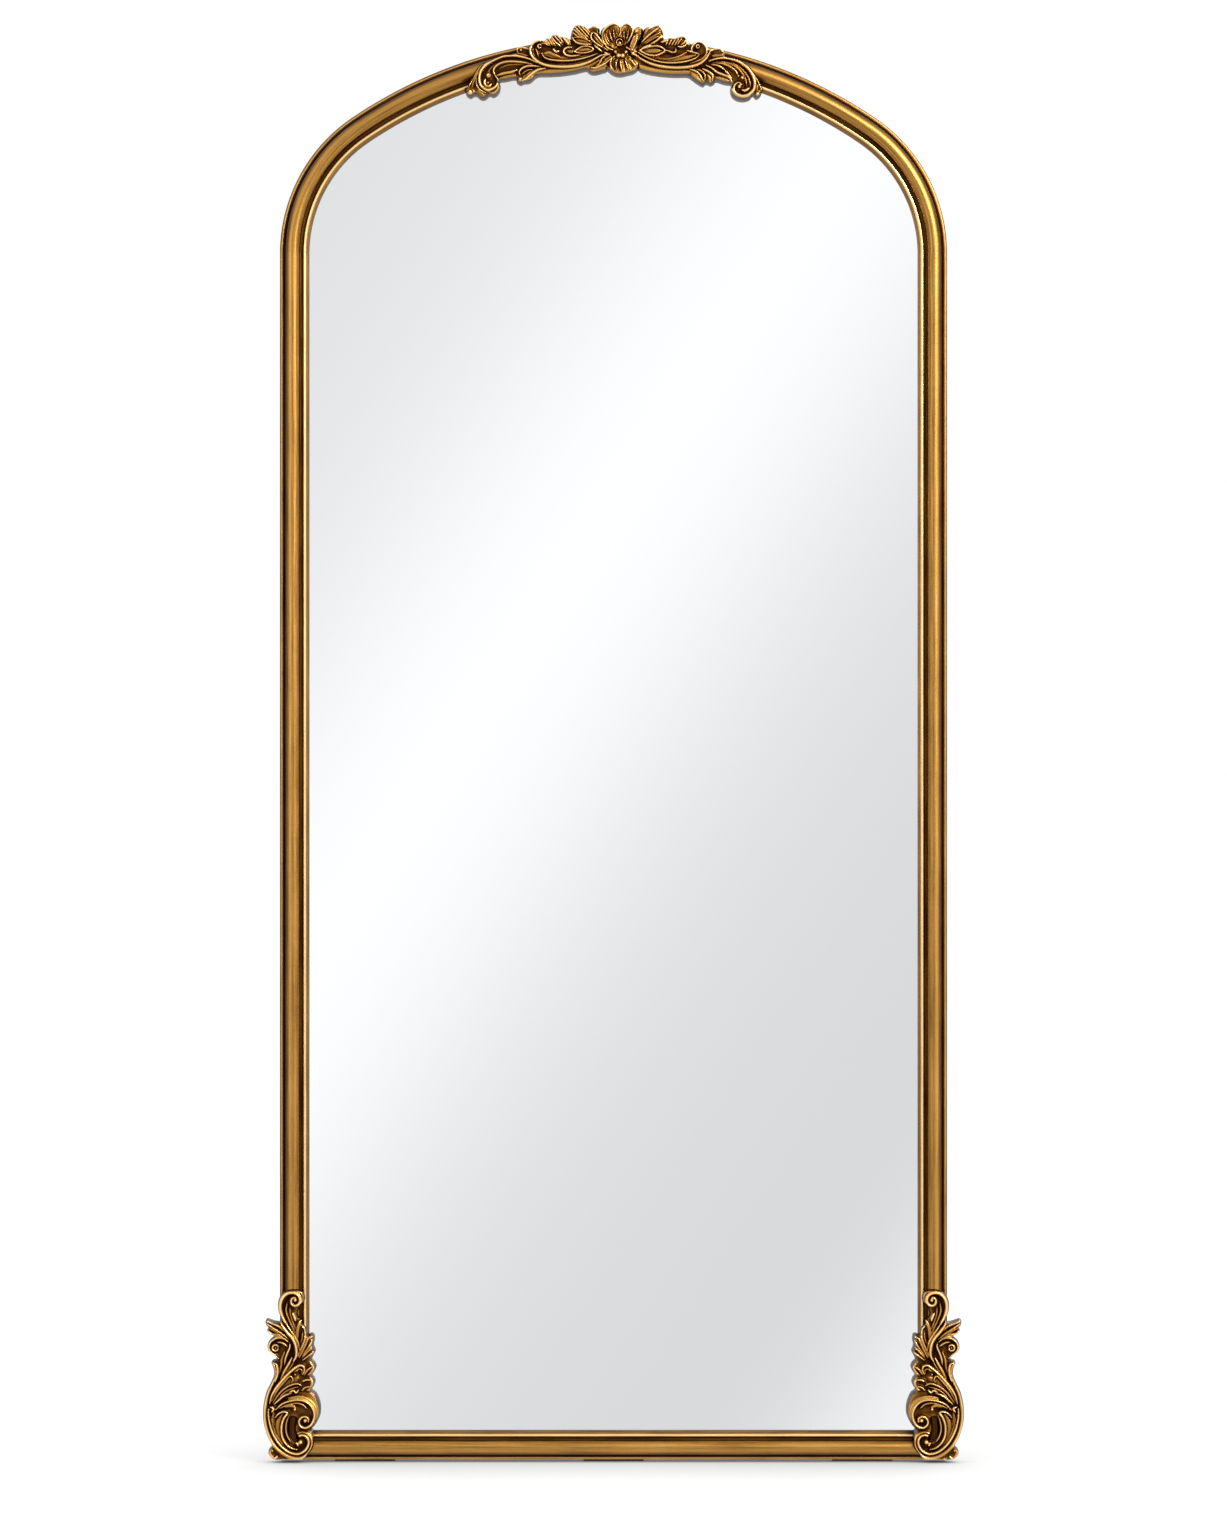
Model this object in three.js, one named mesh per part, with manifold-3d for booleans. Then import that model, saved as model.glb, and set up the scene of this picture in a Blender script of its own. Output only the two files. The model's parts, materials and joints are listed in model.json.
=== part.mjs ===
// A leaning floor mirror: an arched, antique-gold moulded frame with a carved crest, two carved
// lower corners, a flat mirror plate and its backing, and the hardware on the back.
// Millimetres, +Z up. The mirror faces -Y, +X is the viewer's right, and the origin is on the
// floor at the middle of the centre floor pad.
import * as THREE from "three";
import { mergeVertices } from "three/addons/utils/BufferGeometryUtils.js";
import Module from "manifold-3d";

const wasm = await Module();
wasm.setup();

// ---- Frame ----
const FRAME_WIDTH = 778;
const FRAME_HEIGHT = 1659;
const ARCH_RISE = 252;
const SHOULDER_RADIUS = 191;
const SHOULDER_STEPS = 9;
const CROWN_STEPS = 8;
const JOINT_GAP = 0.3;

// ---- Moulding section: widths run in from the outer edge, heights run out from the back ----
const MOULDING_FACE = 34;
const TORUS_HEIGHT = 30;
const TORUS_RADIUS = 7;
const TORUS_FROM_EDGE = 16.2;
const OUTER_BEAD_HEIGHT = 17.4;
const OUTER_BEAD_RADIUS = 2.1;
const OUTER_GROOVE_WIDTH = 1.4;
const OUTER_GROOVE_HEIGHT = 15;
const OUTER_FLANK_LIFT = 2;
const INNER_BEAD_HEIGHT = 22.6;
const INNER_BEAD_RADIUS = 1.6;
const INNER_BEAD_FROM_SIGHT = 4.9;
const COVE_HEIGHT = 20;
const SIGHT_EDGE_HEIGHT = 15.2;
const SECTION_CURVE_STEPS = 2;

// ---- Mirror plate, backing and the rebate that holds them ----
const GLASS_THICKNESS = 4;
const BACKING_THICKNESS = 6;
const REBATE_WIDTH = 7;
const PLATE_CLEARANCE = 0.3;
const PLATE_EDGE_GAP = 0.8;

// ---- Floor pads and wall bumpers ----
const PAD_THICKNESS = 2;
const PAD_LENGTH = 70;
const PAD_DEPTH = 14;
const PAD_SETBACK = 0.5;
const PAD_FROM_SIDE = 99;
const BUMPER_RADIUS = 9;
const BUMPER_THICKNESS = 7;
const BUMPER_DRAFT = 1.5;
const BUMPER_SPACING = 220;
const BUMPER_SIDES = 16;

// ---- Screws ----
const SCREW_SHANK_RADIUS = 1.75;
const SCREW_LENGTH = 14;
const SCREW_TIP_LENGTH = 3;
const SCREW_HEAD_RADIUS = 3.6;
const SCREW_HEAD_HEIGHT = 1.8;
const SCREW_HEAD_EDGE = 0.5;
const SCREW_SIDES = 8;
const SCREW_CLEARANCE = 0.35;
const PILOT_EXTRA_DEPTH = 1;

// ---- Steel plates across the frame joints ----
const PLATE_THICKNESS = 2;
const PLATE_WIDTH = 16;
const PLATE_FROM_EDGE = 14;
const BRACKET_LEG = 78;
const BRACKET_SCREW_NEAR_END = 10;
const BRACKET_SCREW_SPACING = 34;
const MENDING_LENGTH = 90;
const MENDING_SCREW_SPACING = 66;

// ---- Turn buttons that hold the backing in ----
const BUTTON_THICKNESS = 1.6;
const BUTTON_ROOT_RADIUS = 6;
const BUTTON_TIP_RADIUS = 4.5;
const BUTTON_REACH = 20;
const BUTTON_FROM_EDGE = 17;
const BUTTON_PLAY = 0.3;
const BUTTON_ROUND_STEPS = 6;
const BUTTON_ABOVE_FOOT = 328;
const BUTTON_BELOW_SPRING = 449;
const RAIL_BUTTON_SPACING = 360;
const SHOULDER_BUTTON_STEP = 6;

// ---- D-ring hangers ----
const HANGER_BELOW_SPRING = 159;
const STRAP_WIDTH = 14;
const STRAP_LENGTH = 48;
const STRAP_THICKNESS = 1.4;
const STRAP_EYE_WALL = 1.4;
const STRAP_STAND_OFF = 0.3;
const STRAP_FIRST_SCREW = 25;
const STRAP_SCREW_SPACING = 16;
const STRAP_EYE_SIDES = 16;
const RING_WIRE_RADIUS = 1.5;
const RING_PLAY = 0.3;
const RING_BOW_RADIUS = 11;
const RING_SIDE_LENGTH = 6;
const RING_SIDES = 8;
const RING_BOW_STEPS = 10;
const RING_CORNER_RADIUS = 2.5;
const RING_CORNER_STEPS = 3;

// ---- Carvings: drawn on a grid, x to the right and y down, whose squares are GRID_SQUARE wide ----
const GRID_SQUARE = 116.56;
const GRID_UNITS = 100;
const DRAWN_APEX = [613.75, 37.2];
const DRAWN_CORNER = [280, 1460.5];
const CARVING_CLEARANCE = 0.3;
const CARVING_BACK = 14;
const CARVING_GROUND = 32;
const CARVING_ROOT = 30;
const CARVING_CREST = 38;
const CARVING_STATION = 15;
const CARVING_MOST_STATIONS = 12;
const CARVING_TIP_SHARE = 0.4;
const CARVING_SHOULDER_DROP = 0.55;
const RIB_LEAST_RISE = 1;
const CARVING_CUT_MARGIN = 1;
const BEAD_PROUD = 1.5;

// ---- Working limits ----
const MERGE_DISTANCE = 1e-3;
const LEAST_SQUARENESS = 0.5;

// ---- Derived places ----
const HALF_WIDTH = FRAME_WIDTH / 2;
const FRAME_BOTTOM = PAD_THICKNESS;
const APEX_Z = FRAME_BOTTOM + FRAME_HEIGHT;
const SPRING_Z = APEX_Z - ARCH_RISE;
const BACK_Y = PAD_SETBACK + PAD_DEPTH / 2;
const PAD_SPACING = HALF_WIDTH - PAD_FROM_SIDE;
const STILE_BUTTON_HEIGHTS = [FRAME_BOTTOM + BUTTON_ABOVE_FOOT, SPRING_Z - BUTTON_BELOW_SPRING];
const HANGER_HEIGHT = SPRING_Z - HANGER_BELOW_SPRING;
const REBATE_DEPTH = GLASS_THICKNESS + BACKING_THICKNESS + 3 * PLATE_CLEARANCE;
const PLATE_INSET = MOULDING_FACE - REBATE_WIDTH + PLATE_EDGE_GAP;
const SHOULDER_CENTRE_X = HALF_WIDTH - SHOULDER_RADIUS;
const RISE_OVER_SHOULDER = ARCH_RISE - SHOULDER_RADIUS;
const CROWN_CENTRE_DROP =
  (SHOULDER_CENTRE_X ** 2 - RISE_OVER_SHOULDER ** 2) / (2 * RISE_OVER_SHOULDER);
const CROWN_RADIUS = ARCH_RISE + CROWN_CENTRE_DROP;
const CROWN_HALF_ANGLE = Math.atan2(SHOULDER_CENTRE_X, CROWN_CENTRE_DROP);
const STRAP_BORE_RADIUS = RING_WIRE_RADIUS + RING_PLAY;
const STRAP_EYE_RADIUS = STRAP_BORE_RADIUS + STRAP_EYE_WALL;
const HANGER_AXIS_OUT = STRAP_EYE_RADIUS + STRAP_STAND_OFF;
const SCREW_HOLE_RADIUS = SCREW_SHANK_RADIUS + SCREW_CLEARANCE;
const DRAWN_UNIT = GRID_SQUARE / GRID_UNITS;

// ---- Finishes ----
const gilding = { color: 0xa97b3a, roughness: 0.42, metalness: 0.75 };
const silvering = { color: 0xe6e8ea, roughness: 0.03, metalness: 1 };
const fibreboard = { color: 0x8a6a48, roughness: 0.85, metalness: 0 };
const zincPlate = { color: 0xb9bcc0, roughness: 0.4, metalness: 1 };
const brassPlate = { color: 0xc9a552, roughness: 0.35, metalness: 1 };
const blackRubber = { color: 0x2a2a2a, roughness: 0.8, metalness: 0 };

// The world Y of a height measured out from the frame's back.
function outToY(height) {
  return BACK_Y - height;
}

// ---- Meshes and solids ----

// A closed geometry with shared corners merged and its faces turned outwards.
function closed(positions, triangles) {
  const geometry = new THREE.BufferGeometry();
  geometry.setAttribute("position", new THREE.Float32BufferAttribute(positions, 3));
  geometry.setIndex(triangles);
  return facingOut(geometry);
}

function signedVolume(geometry) {
  const at = geometry.getAttribute("position");
  const corners = [new THREE.Vector3(), new THREE.Vector3(), new THREE.Vector3()];
  let volume = 0;
  for (let i = 0; i < geometry.index.count; i += 3) {
    corners.forEach((corner, k) => corner.fromBufferAttribute(at, geometry.index.getX(i + k)));
    volume += corners[0].dot(corners[1].clone().cross(corners[2])) / 6;
  }
  return volume;
}

function facingOut(geometry) {
  if (signedVolume(geometry) < 0) {
    const turned = Array.from(geometry.index.array);
    for (let i = 0; i < turned.length; i += 3) {
      [turned[i], turned[i + 1]] = [turned[i + 1], turned[i]];
    }
    geometry.setIndex(turned);
  }
  return geometry;
}

// A library geometry reduced to merged positions, so that it closes.
function weld(geometry) {
  const bare = geometry.clone();
  bare.deleteAttribute("normal");
  bare.deleteAttribute("uv");
  return facingOut(mergeVertices(bare, MERGE_DISTANCE));
}

function solid(geometry) {
  const welded = weld(geometry);
  return new wasm.Manifold(
    new wasm.Mesh({
      numProp: 3,
      vertProperties: new Float32Array(welded.getAttribute("position").array),
      triVerts: new Uint32Array(welded.index.array),
    }),
  );
}

function geometryOf(manifold) {
  const mesh = manifold.getMesh();
  return closed(Array.from(mesh.vertProperties), Array.from(mesh.triVerts));
}

function cut(geometry, tools) {
  return geometryOf(tools.reduce((body, tool) => body.subtract(solid(tool)), solid(geometry)));
}

// A loft through rings of equal count, each ring a list of Vector3, closed by flat caps.
function loft(rings) {
  const count = rings[0].length;
  const positions = rings.flat().flatMap((p) => [p.x, p.y, p.z]);
  const triangles = [];
  for (let i = 0; i + 1 < rings.length; i += 1) {
    for (let k = 0; k < count; k += 1) {
      const next = (k + 1) % count;
      const [a, b] = [i * count + k, i * count + next];
      triangles.push(a, b, a + count, b, b + count, a + count);
    }
  }
  capFaces(rings[0]).forEach(([a, b, c]) => triangles.push(a, c, b));
  const last = (rings.length - 1) * count;
  capFaces(rings[0]).forEach(([a, b, c]) => triangles.push(last + a, last + b, last + c));
  return closed(positions, triangles);
}

// The triangles of a ring's cap, worked out in the ring's own plane.
function capFaces(ring) {
  const along = ring[1].clone().sub(ring[0]).normalize();
  const normal = ring.reduce((sum, p, i) => {
    const q = ring[(i + 1) % ring.length];
    return sum.add(p.clone().sub(ring[0]).cross(q.clone().sub(ring[0])));
  }, new THREE.Vector3());
  const across = normal.normalize().cross(along);
  const flat = ring.map((p) => {
    const from = p.clone().sub(ring[0]);
    return new THREE.Vector2(from.dot(along), from.dot(across));
  });
  return THREE.ShapeUtils.triangulateShape(flat, []);
}

// A flat plate whose outline is given in X and Z, from its back height to its front height.
function slab(outline, backHeight, frontHeight, holes = []) {
  const shape = new THREE.Shape(outline.map(([x, z]) => new THREE.Vector2(x, z)));
  shape.holes = holes.map(([x, z, radius]) => circlePath(x, z, radius));
  const geometry = new THREE.ExtrudeGeometry(shape, {
    depth: frontHeight - backHeight,
    bevelEnabled: false,
    curveSegments: SCREW_SIDES / 2,
  });
  geometry.rotateX(Math.PI / 2);
  geometry.translate(0, outToY(backHeight), 0);
  return geometry;
}

function circlePath(x, z, radius) {
  const points = [];
  for (let i = 0; i < SCREW_SIDES; i += 1) {
    const angle = (2 * Math.PI * i) / SCREW_SIDES;
    points.push(new THREE.Vector2(x + radius * Math.cos(angle), z + radius * Math.sin(angle)));
  }
  return new THREE.Path(points);
}

// ---- The frame's outline: two shoulders and a crown of larger radius between straight stiles ----

// Places on the outer edge from the left spring point to the apex, each with its inward direction.
function leftArchStations() {
  const stations = [];
  const shoulderAngle = Math.PI / 2 - CROWN_HALF_ANGLE;
  for (let i = 0; i <= SHOULDER_STEPS; i += 1) {
    const angle = Math.PI - (shoulderAngle * i) / SHOULDER_STEPS;
    stations.push(arcStation(-SHOULDER_CENTRE_X, SPRING_Z, SHOULDER_RADIUS, angle));
  }
  for (let i = 1; i <= CROWN_STEPS; i += 1) {
    const angle = Math.PI / 2 + CROWN_HALF_ANGLE * (1 - i / CROWN_STEPS);
    stations.push(arcStation(0, SPRING_Z - CROWN_CENTRE_DROP, CROWN_RADIUS, angle));
  }
  return stations;
}

function arcStation(centreX, centreZ, radius, angle) {
  const [outX, outZ] = [Math.cos(angle), Math.sin(angle)];
  return station(centreX + radius * outX, centreZ + radius * outZ, -outX, -outZ);
}

function station(x, z, inX, inZ) {
  return { x, z, inX, inZ };
}

function mirrored(stations) {
  return stations.map((s) => station(-s.x, s.z, -s.inX, s.inZ)).reverse();
}

// The whole outline moved in from the outer edge, as an outline of X and Z.
function framedOutline(inset) {
  const left = leftArchStations();
  const arch = [...left, ...mirrored(left).slice(1)];
  const [side, foot] = [HALF_WIDTH - inset, FRAME_BOTTOM + inset];
  return [
    [-side, foot],
    ...arch.map((s) => [s.x + s.inX * inset, s.z + s.inZ * inset]),
    [side, foot],
  ];
}

// The moulding's section as [distance in from the outer edge, height out from the back].
function mouldingSection() {
  const section = new THREE.Path();
  const beadCentre = OUTER_BEAD_HEIGHT - OUTER_BEAD_RADIUS;
  const grooveStart = 2 * OUTER_BEAD_RADIUS;
  const grooveEnd = grooveStart + OUTER_GROOVE_WIDTH;
  const torusCentre = TORUS_HEIGHT - TORUS_RADIUS;
  const torusStart = TORUS_FROM_EDGE - TORUS_RADIUS;
  const torusEnd = TORUS_FROM_EDGE + TORUS_RADIUS;
  const innerBead = MOULDING_FACE - INNER_BEAD_FROM_SIGHT;
  const innerBeadCentre = INNER_BEAD_HEIGHT - INNER_BEAD_RADIUS;
  section.moveTo(0, 0);
  section.lineTo(0, beadCentre);
  section.absarc(OUTER_BEAD_RADIUS, beadCentre, OUTER_BEAD_RADIUS, Math.PI, 0, true);
  section.lineTo(grooveEnd, OUTER_GROOVE_HEIGHT);
  section.quadraticCurveTo(torusStart, OUTER_GROOVE_HEIGHT + OUTER_FLANK_LIFT, torusStart, torusCentre);
  section.absarc(TORUS_FROM_EDGE, torusCentre, TORUS_RADIUS, Math.PI, 0, true);
  section.quadraticCurveTo(torusEnd, COVE_HEIGHT, innerBead - INNER_BEAD_RADIUS, COVE_HEIGHT);
  section.absarc(innerBead, innerBeadCentre, INNER_BEAD_RADIUS, Math.PI, 0, true);
  section.lineTo(MOULDING_FACE, SIGHT_EDGE_HEIGHT);
  section.lineTo(MOULDING_FACE, REBATE_DEPTH);
  section.lineTo(MOULDING_FACE - REBATE_WIDTH, REBATE_DEPTH);
  section.lineTo(MOULDING_FACE - REBATE_WIDTH, 0);
  return tidyLoop(section.getPoints(SECTION_CURVE_STEPS));
}

// Drops points that repeat, the last one too where it closes on the first.
function tidyLoop(points) {
  return points.filter((p, i) => p.distanceTo(points[(i + 1) % points.length]) > MERGE_DISTANCE);
}

// A section moved out by a clearance all round.
function grown(section, clearance) {
  return section.map((p, i) => {
    const before = section[(i + section.length - 1) % section.length];
    const after = section[(i + 1) % section.length];
    const [u, v] = [p.clone().sub(before).normalize(), after.clone().sub(p).normalize()];
    const out = new THREE.Vector2(-u.y - v.y, u.x + v.x).normalize();
    const squareness = out.dot(new THREE.Vector2(-u.y, u.x));
    return p.clone().addScaledVector(out, clearance / Math.max(LEAST_SQUARENESS, squareness));
  });
}

function sweep(section, stations) {
  return loft(
    stations.map((s) =>
      section.map((p) => new THREE.Vector3(s.x + s.inX * p.x, outToY(p.y), s.z + s.inZ * p.x)),
    ),
  );
}

// ---- Screws ----

// A round-headed wood screw whose axis is +Y, with the underside of its head at the origin.
function screwGeometry(shankLength) {
  const profile = [
    [0, -shankLength],
    [SCREW_SHANK_RADIUS, SCREW_TIP_LENGTH - shankLength],
    [SCREW_SHANK_RADIUS, 0],
    [SCREW_HEAD_RADIUS, 0],
    [SCREW_HEAD_RADIUS, SCREW_HEAD_EDGE],
    [0, SCREW_HEAD_HEIGHT],
  ];
  return new THREE.LatheGeometry(profile.map(([r, y]) => new THREE.Vector2(r, y)), SCREW_SIDES);
}

// The hole that a screw needs in the wood behind the frame's back face.
function pilotHole(x, z) {
  const depth = SCREW_LENGTH + PILOT_EXTRA_DEPTH;
  const hole = new THREE.CylinderGeometry(SCREW_HOLE_RADIUS, SCREW_HOLE_RADIUS, 2 * depth, SCREW_SIDES);
  hole.translate(x, BACK_Y, z);
  return hole;
}

// ---- The model, as a scene graph ----
const mirror = new THREE.Group();
const pilotHoles = [];

function addPiece(name, geometry, finish, place = [0, 0, 0]) {
  const mesh = new THREE.Mesh(geometry, new THREE.MeshStandardMaterial(finish));
  mesh.name = name;
  mesh.position.set(...place);
  mirror.add(mesh);
}

// Drives a screw through hardware whose outer face stands proud of the frame's back.
function addScrew(name, x, z, seatHeight, finish) {
  const geometry = screwGeometry(SCREW_LENGTH + seatHeight);
  addPiece(name, geometry, finish, [x, BACK_Y + seatHeight, z]);
  pilotHoles.push(pilotHole(x, z));
}

// Names for the two sides, with the sign of their X.
const SIDES = [
  ["left", -1],
  ["right", 1],
];

// ---- Steel plates across the joints ----
function addCornerBrackets() {
  const inner = PLATE_FROM_EDGE - PLATE_WIDTH / 2;
  const outer = inner + PLATE_WIDTH;
  const ends = [0, BRACKET_SCREW_SPACING].map(
    (step) => inner + BRACKET_LEG - BRACKET_SCREW_NEAR_END - step,
  );
  const tip = inner + BRACKET_LEG;
  const outline = [
    [inner, inner],
    [tip, inner],
    [tip, outer],
    [outer, outer],
    [outer, tip],
    [inner, tip],
  ];
  const holes = ends.flatMap((end) => [
    [end, PLATE_FROM_EDGE],
    [PLATE_FROM_EDGE, end],
  ]);
  SIDES.forEach(([side, sign]) => {
    const place = ([x, z]) => [sign * (HALF_WIDTH - x), FRAME_BOTTOM + z];
    const placed = holes.map(place);
    addHardwarePlate(`corner_bracket_${side}`, outline.map(place), placed);
    placed.forEach(([x, z], i) => {
      addScrew(`corner_bracket_screw_${side}_${i + 1}`, x, z, PLATE_THICKNESS, zincPlate);
    });
  });
}

function addHardwarePlate(name, outline, holes) {
  const drilled = holes.map(([x, z]) => [x, z, SCREW_HOLE_RADIUS]);
  addPiece(name, slab(outline, -PLATE_THICKNESS, 0, drilled), zincPlate);
}

// A straight plate centred on a joint, longer along X or along Z.
function addMendingPlate(name, screwName, centreX, centreZ, alongX) {
  const place = ([along, across]) =>
    alongX ? [centreX + along, centreZ + across] : [centreX + across, centreZ + along];
  const [halfLength, halfWidth] = [MENDING_LENGTH / 2, PLATE_WIDTH / 2];
  const outline = [
    [-halfLength, -halfWidth],
    [halfLength, -halfWidth],
    [halfLength, halfWidth],
    [-halfLength, halfWidth],
  ];
  const holes = [-1, 1].map((end) => place([(end * MENDING_SCREW_SPACING) / 2, 0]));
  addHardwarePlate(name, outline.map(place), holes);
  holes.forEach(([x, z], i) => addScrew(`${screwName}_${i + 1}`, x, z, PLATE_THICKNESS, zincPlate));
}

function addJointPlates() {
  addCornerBrackets();
  SIDES.forEach(([side, sign]) => {
    const centreX = sign * (HALF_WIDTH - PLATE_FROM_EDGE);
    addMendingPlate(`mending_plate_${side}`, `mending_screw_${side}`, centreX, SPRING_Z, false);
  });
  addMendingPlate("crown_plate", "crown_plate_screw", 0, APEX_Z - PLATE_FROM_EDGE, true);
}

// ---- Turn buttons ----

// A button seen from the back: round at its root and at its narrower tip, pointing along +X.
function buttonOutline() {
  const points = [];
  for (let i = 0; i <= BUTTON_ROUND_STEPS; i += 1) {
    const angle = Math.PI / 2 + (Math.PI * i) / BUTTON_ROUND_STEPS;
    points.push([BUTTON_ROOT_RADIUS * Math.cos(angle), BUTTON_ROOT_RADIUS * Math.sin(angle)]);
  }
  for (let i = 0; i <= BUTTON_ROUND_STEPS; i += 1) {
    const angle = (Math.PI * i) / BUTTON_ROUND_STEPS - Math.PI / 2;
    points.push([
      BUTTON_REACH + BUTTON_TIP_RADIUS * Math.cos(angle),
      BUTTON_TIP_RADIUS * Math.sin(angle),
    ]);
  }
  return points;
}

// The pivots of the turn buttons, each with the direction in over the backing.
function buttonStations() {
  const onStiles = SIDES.flatMap(([, sign]) =>
    STILE_BUTTON_HEIGHTS.map((z) => station(sign * HALF_WIDTH, z, -sign, 0)),
  );
  const onRail = SIDES.map(([, sign]) =>
    station((sign * RAIL_BUTTON_SPACING) / 2, FRAME_BOTTOM, 0, 1),
  );
  const shoulder = leftArchStations()[SHOULDER_BUTTON_STEP];
  const onShoulders = [shoulder, ...mirrored([shoulder])];
  return [...onStiles, ...onRail, ...onShoulders];
}

function addTurnButtons() {
  buttonStations().forEach((s, i) => {
    const [x, z] = [s.x + s.inX * BUTTON_FROM_EDGE, s.z + s.inZ * BUTTON_FROM_EDGE];
    const outline = buttonOutline().map(([along, across]) => [
      x + s.inX * along - s.inZ * across,
      z + s.inZ * along + s.inX * across,
    ]);
    const back = -BUTTON_PLAY - BUTTON_THICKNESS;
    const hole = [x, z, SCREW_HOLE_RADIUS];
    addPiece(`turn_button_${i + 1}`, slab(outline, back, -BUTTON_PLAY, [hole]), zincPlate);
    addScrew(`turn_button_screw_${i + 1}`, x, z, BUTTON_THICKNESS + 2 * BUTTON_PLAY, zincPlate);
  });
}

// ---- D-ring hangers ----

// A strap with its eye rolled round the ring's straight side, which lies along X.
function strapGeometry(x, z, screwHeights) {
  const half = STRAP_WIDTH / 2;
  const outline = [
    [x - half, z - STRAP_LENGTH],
    [x + half, z - STRAP_LENGTH],
    [x + half, z],
    [x - half, z],
  ];
  const holes = screwHeights.map((height) => [x, height, SCREW_HOLE_RADIUS]);
  const rolled = tubeAlongX(STRAP_EYE_RADIUS, STRAP_WIDTH, x, z);
  const bore = tubeAlongX(STRAP_BORE_RADIUS, 2 * STRAP_WIDTH, x, z);
  const plate = solid(slab(outline, -STRAP_THICKNESS, 0, holes));
  return geometryOf(plate.add(solid(rolled)).subtract(solid(bore)));
}

function tubeAlongX(radius, length, x, z) {
  const tube = new THREE.CylinderGeometry(radius, radius, length, STRAP_EYE_SIDES);
  tube.rotateZ(Math.PI / 2);
  tube.translate(x, BACK_Y + HANGER_AXIS_OUT, z);
  return tube;
}

// The ring's centre line, hanging down from its straight side at the origin.
function ringCentreLine() {
  const line = new THREE.Path();
  const [half, corner] = [RING_BOW_RADIUS, RING_CORNER_RADIUS];
  line.moveTo(0, 0);
  line.lineTo(half - corner, 0);
  line.absarc(half - corner, -corner, corner, Math.PI / 2, 0, true);
  line.lineTo(half, -RING_SIDE_LENGTH);
  line.absarc(0, -RING_SIDE_LENGTH, half, 0, -Math.PI, true);
  line.lineTo(-half, -corner);
  line.absarc(corner - half, -corner, corner, Math.PI, Math.PI / 2, true);
  return line.curves.flatMap((curve) => {
    const steps = curve.isLineCurve ? 1 : ringArcSteps(curve);
    return curve.getPoints(steps).slice(1);
  });
}

function ringArcSteps(curve) {
  return curve.xRadius > RING_CORNER_RADIUS ? RING_BOW_STEPS : RING_CORNER_STEPS;
}

// A round wire that closes on itself along a flat loop of points.
function wireLoop(points) {
  const line = tidyLoop(points);
  const positions = [];
  const triangles = [];
  line.forEach((p, i) => {
    const before = line[(i + line.length - 1) % line.length];
    const after = line[(i + 1) % line.length];
    const along = after.clone().sub(p).normalize().add(p.clone().sub(before).normalize()).normalize();
    const stretch = 1 / along.dot(after.clone().sub(p).normalize());
    for (let k = 0; k < RING_SIDES; k += 1) {
      const angle = (2 * Math.PI * (k + 0.5)) / RING_SIDES;
      const across = RING_WIRE_RADIUS * Math.cos(angle) * stretch;
      positions.push(p.x - along.y * across, RING_WIRE_RADIUS * Math.sin(angle), p.y + along.x * across);
      const [a, b] = [i * RING_SIDES + k, i * RING_SIDES + ((k + 1) % RING_SIDES)];
      const turn = ((i + 1) % line.length) * RING_SIDES - i * RING_SIDES;
      triangles.push(a, b, a + turn, b, b + turn, a + turn);
    }
  });
  return closed(positions, triangles);
}

function addHangers() {
  SIDES.forEach(([side, sign]) => {
    const x = sign * (HALF_WIDTH - PLATE_FROM_EDGE);
    const screws = [0, 1].map((i) => HANGER_HEIGHT - STRAP_FIRST_SCREW - i * STRAP_SCREW_SPACING);
    addPiece(`hanger_strap_${side}`, strapGeometry(x, HANGER_HEIGHT, screws), zincPlate);
    const axis = [x, BACK_Y + HANGER_AXIS_OUT, HANGER_HEIGHT];
    addPiece(`hanger_ring_${side}`, wireLoop(ringCentreLine()), zincPlate, axis);
    screws.forEach((z, i) => {
      addScrew(`hanger_screw_${side}_${i + 1}`, x, z, STRAP_THICKNESS, brassPlate);
    });
  });
}

// ---- Floor pads and wall bumpers ----
function addPads() {
  const pad = new THREE.BoxGeometry(PAD_LENGTH, PAD_DEPTH, PAD_THICKNESS);
  ["left", "centre", "right"].forEach((name, i) => {
    addPiece(`floor_pad_${name}`, pad, blackRubber, [(i - 1) * PAD_SPACING, 0, PAD_THICKNESS / 2]);
  });
  const drop = CROWN_RADIUS - Math.sqrt(CROWN_RADIUS ** 2 - (BUMPER_SPACING / 2) ** 2);
  const bumperZ = APEX_Z - drop - PLATE_FROM_EDGE;
  const bumper = new THREE.CylinderGeometry(
    BUMPER_RADIUS - BUMPER_DRAFT,
    BUMPER_RADIUS,
    BUMPER_THICKNESS,
    BUMPER_SIDES,
  );
  SIDES.forEach(([side, sign]) => {
    const place = [(sign * BUMPER_SPACING) / 2, BACK_Y + BUMPER_THICKNESS / 2, bumperZ];
    addPiece(`wall_bumper_${side}`, bumper, blackRubber, place);
  });
}

// ---- Mirror plate and backing ----
function addGlazing() {
  const outline = framedOutline(PLATE_INSET);
  const glassBack = BACKING_THICKNESS + 2 * PLATE_CLEARANCE;
  const glass = slab(outline, glassBack, glassBack + GLASS_THICKNESS);
  addPiece("mirror_glass", glass, silvering);
  const backing = slab(outline, PLATE_CLEARANCE, PLATE_CLEARANCE + BACKING_THICKNESS);
  addPiece("backing_board", backing, fibreboard);
}

// ---- Frame members ----

// The outer corner's mitre is shared by a stile and the rail, half the gap each.
function memberStations(clear) {
  const back = clear * Math.SQRT1_2;
  const footLeft = station(-HALF_WIDTH, FRAME_BOTTOM + back, 1, 1);
  const arch = leftArchStations();
  return {
    left_stile: [footLeft, station(-HALF_WIDTH, SPRING_Z, 1, 0)],
    right_stile: mirrored([footLeft, station(-HALF_WIDTH, SPRING_Z, 1, 0)]),
    bottom_rail: [
      station(-HALF_WIDTH + back, FRAME_BOTTOM, 1, 1),
      station(HALF_WIDTH - back, FRAME_BOTTOM, -1, 1),
    ],
    arch_left: arch,
    arch_right: mirrored(arch),
  };
}

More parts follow.
